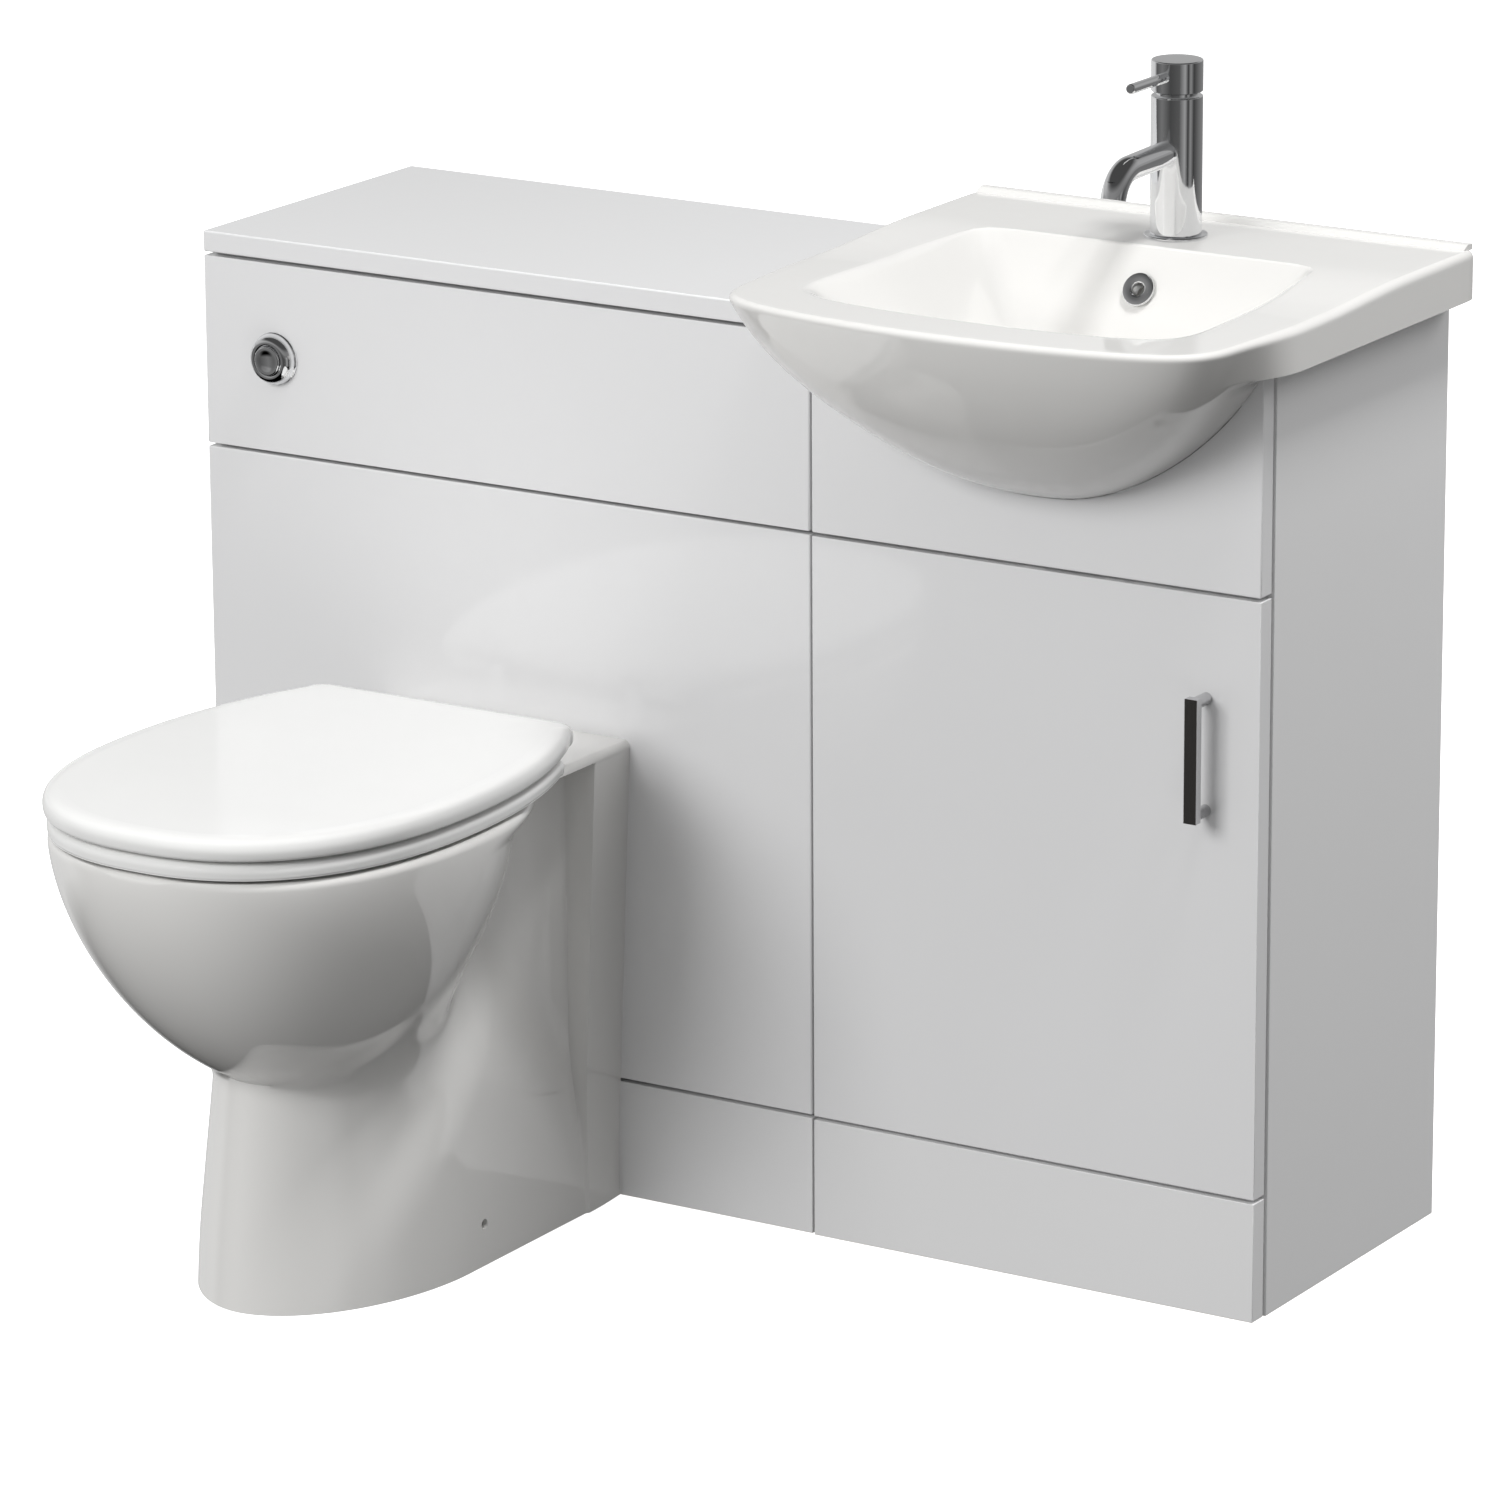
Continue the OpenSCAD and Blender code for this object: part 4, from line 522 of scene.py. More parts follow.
for f in (0.2, 0.45, 0.7, 0.9, 1.0):
    rings.append(at_height(pan_top * (1 - f) + opening * f, PAN_H - 0.25 * f))
bowl_inside = [
    (1.07, 399.2), (1.05, 397), (1.035, 393.5), (1.02, 388), (1.0, 378), (0.96, 330),
    (0.88, 280), (0.74, 240), (0.52, 214), (0.30, 205),
]
rings += [at_height(bowl_plan(scale), z) for scale, z in curve_through(bowl_inside, 5)]
pan = skin(rings)


def applied(made):
    """Turns what a piece's modifiers make into its plain mesh."""
    graph = bpy.context.evaluated_depsgraph_get()
    result = bpy.data.meshes.new_from_object(made.evaluated_get(graph))
    made.modifiers.clear()
    made.data = result


def cut(made, *cutters, union=False):
    """Cuts closed shapes out of a finished piece, or joins them to it."""
    for work in cutters:
        mesh = bpy.data.meshes.new("cutter")
        work.to_mesh(mesh)
        work.free()
        tool = linked("cutter", mesh)
        step = made.modifiers.new("cut", "BOOLEAN")
        step.operation = "UNION" if union else "DIFFERENCE"
        step.solver, step.object = "EXACT", tool
        applied(made)
        bpy.data.objects.remove(tool)


def smoothed(made, edge_angle):
    """Shades a cut piece smooth again."""
    shaded(made.data, edge_angle)
    made.modifiers.new("even_shading", "WEIGHTED_NORMAL").keep_sharp = True


def rod(x, y, z, axis, length, radius, steps=64):
    """A closed cylinder from a point along X, Y or Z, for a hole or a boss."""
    turns = {
        "X": Matrix.Rotation(math.pi / 2, 4, "Y"),
        "Y": Matrix.Rotation(-math.pi / 2, 4, "X"),
        "Z": Matrix(),
    }
    at = PLACE @ Matrix.Translation((x, y, z)) @ turns[axis]
    return turned([(0, 0), (radius, 0), (radius, length), (0, length)], at, steps)


HINGE_Y, POST_OUT = -94, 70
SCREW_Y, SCREW_Z = -206, 36
soil_way = (
    PLACE @ Matrix.Translation((PAN_X, 0, 180)) @ Matrix.Rotation(-math.pi / 2, 4, "X")
)
recess = turned([
    (0, -150), (43, -150), (43, -35), (51, -35), (51, -95), (66, -95), (66, 1), (0, 1),
], soil_way)
pan_piece = piece("pan_glazed", pan, glazed_china, "unit", "pan")
cut(
    pan_piece, recess, rod(PAN_X, -90, 345, "Y", 91, 27),
    rod(PAN_X - 110, SCREW_Y, SCREW_Z, "X", 220, 2.8, 32),
    rod(PAN_X + 98, SCREW_Y, SCREW_Z, "X", 30, 4.5, 32),
    rod(PAN_X - 128, SCREW_Y, SCREW_Z, "X", 30, 4.5, 32),
    rod(PAN_X - POST_OUT, HINGE_Y, 360, "Z", 41, 4, 32),
    rod(PAN_X + POST_OUT, HINGE_Y, 360, "Z", 41, 4, 32),
)
smoothed(pan_piece, 42)
dressed(white_fitting, "soil_connector", "pan_brackets")
dressed(zinc_steel, "pan_screws")


# ------------------------------------------------------------------ seat and lid
# Ring and lid are pressed in white urea plastic, with soft edges and buffers underneath.
# Lugs on the ring and cheeks on the lid turn on two steel pins through chrome posts on the pan.

SEAT_HALF, SEAT_FRONT, SEAT_CORNER = 174, 228, 14
RING_BACK, RING_Z, LID_BACK, LID_TOP = -114, 403, -85, 437.2
HINGE_Z, LUG_R, PIN_HOLE = 414, 7, 3.56
seat_plastic = even_finish(
    "seat_plastic", (0.83, 0.83, 0.82, 1), (0.80, 0.80, 0.79, 1), (8, 2),
    (0.11, 0.06, 70, 3), (220, 0.00001), Coat_Weight=0.25, Coat_Roughness=0.06,
)
buffer_finish = Finish("clear_buffer")
clear_buffer = buffer_finish.made(
    Base_Color=buffer_finish.between(
        (0.62, 0.64, 0.65, 1), (0.74, 0.75, 0.76, 1), buffer_finish.noise(60, 2)
    ),
    Roughness=0.3 + buffer_finish.noise(300, 2) * 0.15,
    Transmission_Weight=0.35,
)


def seat_plan(inset, back):
    """Plan of ring or lid: an egg with a straight back edge and two tight rear corners."""
    swing, egg = np.linspace(0, math.pi / 2, 46), 2 / 2.35
    front = np.stack([
        (SEAT_HALF - inset) * np.sin(swing) ** egg,
        BOWL_MID - (SEAT_FRONT - inset) * np.cos(swing) ** egg,
    ], 1)
    corner = back - inset - SEAT_CORNER
    y = np.linspace(BOWL_MID, corner, 16)[1:]
    side = np.stack([SEAT_HALF * np.sqrt(1 - ((y - BOWL_MID) / 300) ** 2) - inset, y], 1)
    bend = np.radians(np.linspace(10, 90, 9))
    rear = np.stack([
        side[-1, 0] - SEAT_CORNER * (1 - np.cos(bend)), corner + SEAT_CORNER * np.sin(bend),
    ], 1)
    straight = np.linspace(rear[-1, 0], -rear[-1, 0], 14)[1:-1]
    back_edge = np.stack([straight, np.full(12, rear[-1, 1])], 1)
    right = np.concatenate([front, side, rear])
    left = right[1:][::-1] * (-1, 1)
    return np.concatenate([right, back_edge, left]) + (PAN_X, 0)


def block(x0, x1, y0, y1, z0, z1):
    """A closed box between two corners."""
    work = bmesh.new()
    middle = Matrix.Translation(((x0 + x1) / 2, (y0 + y1) / 2, (z0 + z1) / 2))
    spans = Matrix.Diagonal((x1 - x0, y1 - y0, z1 - z0, 1))
    bmesh.ops.create_cube(work, size=1, matrix=PLACE @ middle @ spans)
    return work


outer = seat_plan(3, RING_BACK)
around = np.linspace(0, 2 * math.pi, len(outer), endpoint=False) - math.pi / 2
cosine, sine = np.cos(around), np.sin(around)
inner = np.stack([
    PAN_X + 108 * np.sign(cosine) * np.abs(cosine) ** 0.95,
    BOWL_MID + np.where(sine < 0, 150, 118) * sine,
], 1)
ring_section = curve_through([
    (0.05, 0), (0.5, 0), (0.94, 0), (0.992, 1.2), (1, 4), (1, 8), (0.972, 11.6), (0.9, 13.9),
    (0.75, 14.1), (0.55, 13.9), (0.28, 12.9), (0.1, 10.4), (0.015, 7), (0, 3.5), (0.012, 1),
    (0.05, 0),
], 4)[:-1]
ring = skin(
    [at_height(inner + (outer - inner) * f, RING_Z + h) for f, h in ring_section], closed=False
)
seat_piece = piece("seat_ring_pressed", ring, seat_plastic, "seat", "seat_ring")
for side in (-1, 1):
    x0 = PAN_X + min(side * 80, side * 96)
    cut(
        seat_piece, rod(x0, HINGE_Y, HINGE_Z, "X", 16, LUG_R),
        block(x0, x0 + 16, -126, HINGE_Y, 407, 417), union=True,
    )
cut(seat_piece, rod(PAN_X - 115, HINGE_Y, HINGE_Z, "X", 230, PIN_HOLE, 32))
smoothed(seat_piece, 42)

centre = np.array((PAN_X, -280))
underside = seat_plan(15, LID_BACK)
levels = [(underside * 0.3 + centre * 0.7, 424), (underside, 424), (underside, 419)]
lid_edge = [
    (4, 419), (2.2, 419.5), (1.1, 420.6), (0.5, 422), (0, 426), (0.3, 429), (1.4, 432),
    (2.8, 433.9), (4.8, 435.3), (8, 436.3), (12, 436.9), (18, LID_TOP),
]
levels += [(seat_plan(inset, LID_BACK), z) for inset, z in curve_through(lid_edge, 3)]
crown = seat_plan(18, LID_BACK)
for f in (0.8, 0.55, 0.25):
    levels.append((crown * f + centre * (1 - f), LID_TOP + 0.8 * (1 - f * f)))
lid = skin([at_height(plan, z) for plan, z in levels])
lid_piece = piece("lid_pressed", lid, seat_plastic, "lid", "seat_lid")
for side in (-1, 1):
    x0 = PAN_X + min(side * 97, side * 115)
    cut(
        lid_piece, rod(x0, HINGE_Y, HINGE_Z, "X", 18, LUG_R),
        block(x0, x0 + 18, HINGE_Y - LUG_R, HINGE_Y + LUG_R, HINGE_Z, 424.2), union=True,
    )
    x0 = PAN_X + min(side * 58, side * 96.7)
    cut(lid_piece, block(x0, x0 + 38.7, -130, -84, HINGE_Z, 425))
cut(lid_piece, rod(PAN_X - 112, HINGE_Y, HINGE_Z, "X", 224, PIN_HOLE, 32))
smoothed(lid_piece, 42)
dressed(clear_buffer, "seat_buffers", "lid_buffers")
softened("hinge_posts", 0.0005, polished_chrome)
dressed(zinc_steel, "hinge_pins")


# --------------------------------------------------------- door hinges and handle
# Steel cups pressed into the door sit on arms that screw to the left board, behind the door.
# The handle is a flat zinc bar on two posts: chromed, with its front brushed dark.

HANDLE_FACE = (108.5 - 27.7) / 1000
NICKEL_DARK, NICKEL_LIGHT = (0.17, 0.16, 0.155, 1), (0.26, 0.25, 0.24, 1)
softened("hinge_cups", 0.0003, zinc_steel, "door")
softened("hinge_arms", 0.0003, zinc_steel)
dressed(zinc_steel, "handle_screws")
dressed(clear_buffer, "door_buffers")
brushed = Finish("brushed_nickel")
front_face = brushed.part("Y") < HANDLE_FACE
brushing = brushed.noise(160, 4, (14, 14, 0.35))
brushed_tone = brushed.between(NICKEL_DARK, NICKEL_LIGHT, brushing)
brushed_nickel = brushed.made(
    Base_Color=brushed.between((0.60, 0.60, 0.61, 1), brushed_tone, front_face),
    Metallic=1.0,
    Roughness=0.12 + front_face * 0.2 + brushing * 0.1,
    Normal=brushed.bumps(brushing, 0.00002),
)
softened("door_handle", 0.0007, brushed_nickel, "door")


# ---------------------------------------------------------------------- the basin
# Vitreous china, semi-recessed: a bowed belly hangs through the cut-out of the upper front,
# and a flat edge with a raised lip lies on the cabinet. Deck and dish flow into each other.
# The lacquered upper front is made here, because its cut-out follows the belly.

BASIN_X, BASIN_HALF, BASIN_FRONT, BASIN_REAR, BASIN_UNDER = 807.5, 232, 163, 310, 784
RIM_TOP, EDGE_ROUND, DECK_RISE, TAP_Y = 820.0, 6.5, 5.0, 228
BELLY_MID, BELLY_HALF, BELLY_REAR, BELLY_BOW, BELLY_FOOT = 34.0, 242, 195, 34.0, 652.3
BELLY_TOP, BELLY_DROP, BELLY_CURVE = 891.5, 239.5, 1.79
FRONT_GAP, CUT_OUT_HALF, SIDE_ROOM = 0.2, 187.2, 186.5  # room between the side panels
WASTE_Y, WASTE_R = 66.0, 29
DISH_HALF, DISH_FRONT, DISH_REAR, DISH_FLOOR, DISH_CURVE = 162, 98, 184, 692, 1.35
LIP_END, LIP_REACH, LIP_DROP = 42, 0.743, 0.331  # degrees, their cosine, 1 less their sine
OVERFLOW_Z = 792.0


def polar(a, b, n, t):
    """Radius of a superellipse at an angle."""
    return (np.abs(np.cos(t) / a) ** n + np.abs(np.sin(t) / b) ** n) ** (-1 / n)


def bowed(a, b, n, bow, t):
    """Radius of a superellipse whose front bows out by an amount."""
    r = polar(a, b, n, t)
    for _ in range(6):
        r = polar(a, b - bow * (r * np.cos(t) / a) ** 2, n, t)
    return r


def belly_share(z):
    """Size of the belly at a height, as a share of its size at BELLY_TOP."""
    drop = max(0.0, (BELLY_TOP - z) / BELLY_DROP)
    return max(0.0, 1 - drop ** BELLY_CURVE) ** (1 / BELLY_CURVE)


BELLY_FRONT = (BASIN_FRONT + BELLY_MID) / belly_share(RIM_TOP)


def belly_r(t, z):
    """The belly, which is squarer towards its top."""
    s = max(0.001, belly_share(z))
    square = 4.2 + 4.5 * float(eased((z - 690) / 120))
    front = bowed(BELLY_HALF * s, BELLY_FRONT * s, square, BELLY_BOW * s, t)
    return np.where(t < 0, front, polar(BELLY_HALF * s, BELLY_REAR * s, square, t))


def rim_r(t, z, inset):
    """The flat edge of the basin, which runs down into the belly in front."""
    front = bowed(BASIN_HALF, BASIN_FRONT + BELLY_MID, 11, BELLY_BOW * 0.9, t)
    r = np.where(t < 0, front, polar(BASIN_HALF, BASIN_REAR - BELLY_MID, 60, t)) - inset
    in_front = eased((14 - BELLY_MID - r * np.sin(t)) / 100)
    return r + (belly_r(t, z) - inset - r) * in_front


def rise(y, z):
    """How much higher the basin gets towards the wall."""
    return DECK_RISE * eased((y - 40) / 150) * eased((z - BASIN_UNDER) / 36)


def fan(start, corner, end, k, crowd):
    """Angles from start to end, crowded at a corner."""
    v = np.arange(-k, k + 1) / k
    return corner + np.where(v < 0, corner - start, end - corner) * np.sign(v) * np.abs(v) ** crowd


rear_corner = math.degrees(math.atan2(BASIN_REAR - BELLY_MID, BASIN_HALF))
right_turn = np.concatenate([fan(-90, -38, 0, 22, 1.4), fan(0, rear_corner, 90, 14, 2.6)[1:]])
basin_turn = np.radians(np.concatenate([right_turn, 180 - right_turn[1:-1][::-1]]))
half_turn = np.where(np.degrees(basin_turn) > 90, math.pi - basin_turn, basin_turn)


def basin_ring(r, z):
    y = BELLY_MID + r * np.sin(basin_turn)
    return np.stack([BASIN_X + r * np.cos(basin_turn), y, z + rise(y, z)], 1)


belly_levels = np.array([
    1, 0.994, 0.98, 0.96, 0.93, 0.9, 0.86, 0.81, 0.76, 0.7, 0.63, 0.56, 0.48, 0.4, 0.3, 0.2,
    0.12, 0.05,
])
rings = []
for z in BASIN_UNDER + (BELLY_FOOT - BASIN_UNDER) * belly_levels:
    rings.append(basin_ring(belly_r(half_turn, z), z))
edge_start = RIM_TOP - EDGE_ROUND
rings += [basin_ring(rim_r(half_turn, z, 0), z) for z in np.linspace(784.3, edge_start, 18)]
for a in np.radians(np.linspace(11, 90, 8)):
    z = edge_start + EDGE_ROUND * math.sin(a)
    rings.append(basin_ring(rim_r(half_turn, z, 8 * (1 - math.cos(a))), z))
edge_ring = rings[-1]

cut_out = []
for z in np.linspace(BELLY_FOOT, 790, 40):
    ring = basin_ring(belly_r(half_turn, z) + FRONT_GAP, z - FRONT_GAP)
    ring[:, 0] = np.clip(ring[:, 0], BASIN_X - CUT_OUT_HALF, BASIN_X + CUT_OUT_HALF)
    cut_out.append(ring)
upper_front = piece(
    "van_upper_front_finished", block(601.5, 1013.5, -2, 16, 601, 783), gloss_lacquer, "unit",
    "van_upper_front",
)
cut(ease_edges(upper_front, 0.0012), skin(cut_out))

dish_turn = np.arctan2(edge_ring[:, 1] - WASTE_Y, edge_ring[:, 0] - BASIN_X)
dish_half = np.where(np.cos(dish_turn) < 0, math.pi - dish_turn, dish_turn)
dish_half = np.where(dish_half > math.pi / 2 + 1e-9, dish_half - 2 * math.pi, dish_half)
rounding = 5 + 11 * eased((0.6 - np.sin(dish_half)) / 0.5)


def dish_ring(share, z, grow=0):
    """A level of the dish: a trapezium with soft corners at the top, round at the waste."""
    across = WASTE_R + (DISH_HALF - WASTE_R) * share
    near = WASTE_R + (WASTE_Y + DISH_FRONT - WASTE_R) * share
    far = WASTE_R + (DISH_REAR - WASTE_Y - WASTE_R) * share
    front = bowed(across, near, 2 + 6 * share ** 0.8, 16 * share, dish_half)
    r = np.where(dish_half < 0, front, polar(across, far, 2 + 12 * share ** 0.8, dish_half)) + grow
    y = WASTE_Y + r * np.sin(dish_turn)
    x = r * np.cos(dish_turn) * (1 - 0.00036 * (y - WASTE_Y) * share)
    return np.stack([BASIN_X + x, y, z + rise(y, z)], 1)


lip = dish_ring(1, RIM_TOP, LIP_REACH * rounding)
for f in (0.12, 0.3, 0.5, 0.7, 0.88):
    flat = edge_ring + (lip - edge_ring) * f
    rings.append(np.column_stack([flat[:, :2], RIM_TOP + rise(flat[:, 1], RIM_TOP)]))
for a in np.radians(np.linspace(90, LIP_END, 9)):
    z = RIM_TOP - rounding * (1 - math.sin(a))
    rings.append(dish_ring(1, z, rounding * (LIP_REACH - math.cos(a))))
dish_depth = RIM_TOP - DISH_FLOOR - LIP_DROP * rounding
for share in np.linspace(0.97, 0, 34):
    rings.append(dish_ring(share, DISH_FLOOR + dish_depth * share ** DISH_CURVE))
basin_piece = piece("basin_glazed", skin(rings), glazed_china, "unit", "basin")

DECK_TOP = RIM_TOP + DECK_RISE
along_wall = PLACE @ Matrix.Translation((BASIN_X, BASIN_REAR, DECK_TOP)) @ Matrix(
    ((0, 0, 1, 0), (1, 0, 0, 0), (0, 1, 0, 0), (0, 0, 0, 1))
)
bead_section = [(-16, -1), (0, -1), (0, 2.6)] + arc((-1.4, 2.6), 1.4, 20, 90, 4) + [
    (-7.5, 4), (-9.5, 3.6), (-11, 2.8), (-12.5, 1.8), (-14, 0.9),
]
bead = bmesh.new()
ends = [
    [bead.verts.new(along_wall @ Vector((y, z, x))) for y, z in bead_section]
    for x in (-227, 227)
]
for k in range(len(bead_section)):
    n = (k + 1) % len(bead_section)
    bead.faces.new([ends[0][k], ends[0][n], ends[1][n], ends[1][k]])
bead.faces.new(ends[0][::-1])
bead.faces.new(ends[1])
bmesh.ops.recalc_face_normals(bead, faces=bead.faces)
cut(basin_piece, *(
    block(BASIN_X + x, BASIN_X + x + 100, -2.3, 320, 634, BASIN_UNDER)
    for x in (SIDE_ROOM, -SIDE_ROOM - 100)
))
cut(basin_piece, rod(BASIN_X, WASTE_Y, 650, "Z", 46, 37), bead, union=True)

up_share = (OVERFLOW_Z - DISH_FLOOR) / (RIM_TOP - DISH_FLOOR + DECK_RISE - LIP_DROP * 5)
dish_run = DISH_REAR - WASTE_Y - WASTE_R
overflow_y = WASTE_Y + WASTE_R + dish_run * up_share ** (1 / DISH_CURVE)
tilt = math.atan(dish_run / DISH_CURVE * up_share ** (1 / DISH_CURVE - 1) / 131)
OVERFLOW = (
    PLACE @ Matrix.Translation((BASIN_X, overflow_y, OVERFLOW_Z))
    @ Matrix.Rotation(math.pi / 2 - tilt, 4, "X")
)
ring_seat = [(0, -14), (7, -14), (7, 0.7), (14.3, 0.7), (14.3, 10), (0, 10)]
cut(
    basin_piece, rod(BASIN_X, WASTE_Y, 649, "Z", 63, 21.5),
    rod(BASIN_X, TAP_Y, 724, "Z", 110, 17.5), turned(ring_seat, OVERFLOW, 64),
)
smoothed(basin_piece, 40)


# ------------------------------------------------------- overflow, waste and trap
# A chromed brass ring lines the overflow. The slotted waste clamps the dish between its flange
# and a backnut, its plug clicks up and down, and a plastic bottle trap leads to the wall.

overflow_ring = [(5.4, -8), (6.7, -8), (6.7, 1.0), (14, 1.0), (14, 1.6)]
overflow_ring += arc((12.9, 1.8), 1.1, 10, 90, 5)
overflow_ring += [(9, 2.9), (7.2, 2.8)] + arc((7.0, 1.2), 1.6, 100, 180, 4)
chromed("overflow_ring_turned", overflow_ring, OVERFLOW, "unit", "overflow_ring")
softened("basin_waste", 0.0003, polished_chrome)
plug = [(0, 656), (3.2, 656), (3.2, 695.3), (29, 695.3), (29, 696.6)]
plug += arc((27.6, 696.6), 1.4, 20, 70, 4)
plug += [(24, 699.4), (19, 700.3), (12, 700.9), (5, 701.2), (0, 701.3)]
waste_way = PLACE @ Matrix.Translation((BASIN_X, WASTE_Y, 0))
chromed("plug_turned", plug, waste_way, "plug", "waste_plug")
dressed(white_fitting, "bottle_trap", "trap_cup", "waste_pipe")


# -------------------------------------------------------------------------- the tap
# A single-lever mixer of turned and cast brass under bright chrome: body and spout are one
# casting, the cap with its lever turns and lifts on the cartridge, in a narrow shadow gap.

TAP = PLACE @ Matrix.Translation((BASIN_X, TAP_Y, DECK_TOP))
SPOUT = TAP @ Matrix.Translation((0, 0, 72)) @ Matrix.Rotation(math.radians(1.5), 4, "X")
SPOUT_R, BEND, MOUTH_TURN = 10.5, 27.0, 76


def swept(path, radii, matrix, steps=64):
    """A round tube along points in the plane of X = 0, closed at both ends."""
    p = np.array(path, float)
    way = np.gradient(p, axis=0)
    way /= np.linalg.norm(way, axis=1)[:, None]
    above = np.stack([np.zeros(len(p)), -way[:, 2], way[:, 1]], 1)
    circle = [(math.cos(a), math.sin(a)) for a in 2 * math.pi * np.arange(steps) / steps]
    sideways = np.array((1, 0, 0))
    work = bmesh.new()
    grid = [
        [work.verts.new(matrix @ Vector(q + r * (c * sideways + s * n))) for c, s in circle]
        for q, r, n in zip(p, radii, above)
    ]
    faces = [
        work.faces.new([low[k], low[(k + 1) % steps], high[(k + 1) % steps], high[k]])
        for low, high in zip(grid, grid[1:]) for k in range(steps)
    ]
    faces += [work.faces.new(grid[0]), work.faces.new(grid[-1])]
    bmesh.ops.recalc_face_normals(work, faces=faces)
    return work


body = [(0, 3), (20.8, 3), (21.2, 3.4), (21.2, 115.7)] + arc((20.2, 115.7), 1, 0, 90, 5)
body += [(17.2, 116.7), (17.2, 122.2), (16.4, 123), (5.1, 123), (5.1, 104.7), (0, 104.7)]
tap_piece = chromed("tap_body_cast", body, TAP, "unit", "tap_body", 128, 40)
reach = 104 - BEND * math.sin(math.radians(MOUTH_TURN))
spout_line = [(0, -y, 0) for y in np.linspace(8, reach, 14)]
for a in np.radians(np.linspace(4, MOUTH_TURN, 19)):
    spout_line.append((0, -reach - BEND * math.sin(a), -BEND + BEND * math.cos(a)))
cut(tap_piece, swept(spout_line, [SPOUT_R] * len(spout_line), SPOUT), union=True)
end, end_turn = np.array(spout_line[-1]), math.radians(MOUTH_TURN)
out = np.array((0, -math.cos(end_turn), -math.sin(end_turn)))
mouth = [end - out * 14, end - out * 7, end - out * 0.6, end + out * 0.6]
cut(
    tap_piece, swept(mouth, [8, 8, 8, 8.9], SPOUT), rod(BASIN_X, TAP_Y - 9, 827, "Z", 15, 3, 24)
)
smoothed(tap_piece, 38)
foot_ring = [(14.5, 0), (26.2, 0), (26.2, 2.1)] + arc((25.3, 2.1), 0.9, 20, 90, 4) + [(14.5, 3)]
chromed("tap_base_turned", foot_ring, TAP, "unit", "tap_base_ring", 128)
cap = [
    (8, 124.2), (8, 138.1), (18.7, 138.1), (18.7, 120.1), (20.6, 120.1), (21.2, 120.7),
    (21.2, 144.8),
]
cap += arc((20.0, 144.8), 1.2, 0, 90, 6) + [(10, 146), (0, 146), (0, 124.2)]
cap_piece = chromed("tap_cap_turned", cap, TAP, "tap_lever", "tap_cap", 128, 40)
lever = [(0, 19.5), (4.3, 19.5), (4.3, 76.3)] + arc((3.1, 76.3), 1.2, 0, 90, 6) + [(0, 77.5)]
lever_way = TAP @ Matrix.Translation((0, 0, 134)) @ Matrix.Rotation(math.pi / 2, 4, "X")
cut(cap_piece, turned(lever, lever_way, 64), union=True)
smoothed(cap_piece, 38)
dressed(grey_fitting, "tap_aerator")
dressed(zinc_steel, "tap_spindle", "tap_fixing")


# ---------------------------------------------------------- tails and supply pipes
# Two hoses sleeved in braided steel join the tap to the copper pipes that come up from the floor.
# Brass union nuts, tinned, clamp both; a third pipe feeds the cistern's filling valve.

TAIL_ROUTE = [
    (6.5, 234, 828), (6.5, 234, 765.2), (12, 238, 702.4), (30, 252, 633.3), (52.8, 258, 573.6),
    (60, 262, 529.7), (60, 262, 494),
]
copper = Finish("bare_copper")
patina = copper.noise(22, 4)
bare_copper = copper.made(
    Base_Color=copper.between((0.72, 0.36, 0.22, 1), (0.50, 0.25, 0.17, 1), patina),
    Metallic=1.0,
    Roughness=0.22 + patina * 0.25,
    Normal=copper.bumps(copper.noise(500, 2), 0.00002),
)
dressed(bare_copper, "supply_pipes")
braid = Finish("braided_steel")
lay = braid.node("ShaderNodeAttribute", {"attribute_name": "hose_lay"}, {}, "Vector")
round_it = braid.part("X", lay) * (2 * math.pi * 12)
down_it = braid.part("Y", lay) * (2 * math.pi * 700)
right_lay, left_lay = (round_it + down_it).apply("SINE"), (round_it - down_it).apply("SINE")
strands = right_lay.apply("MAXIMUM", left_lay) * 0.5 + 0.5
braided_steel = braid.made(
    Base_Color=braid.between((0.10, 0.10, 0.11, 1), (0.66, 0.67, 0.69, 1), strands),
    Metallic=1.0,
    Roughness=0.42 - strands * 0.16,
    Normal=braid.bumps(strands, 0.0004),
)


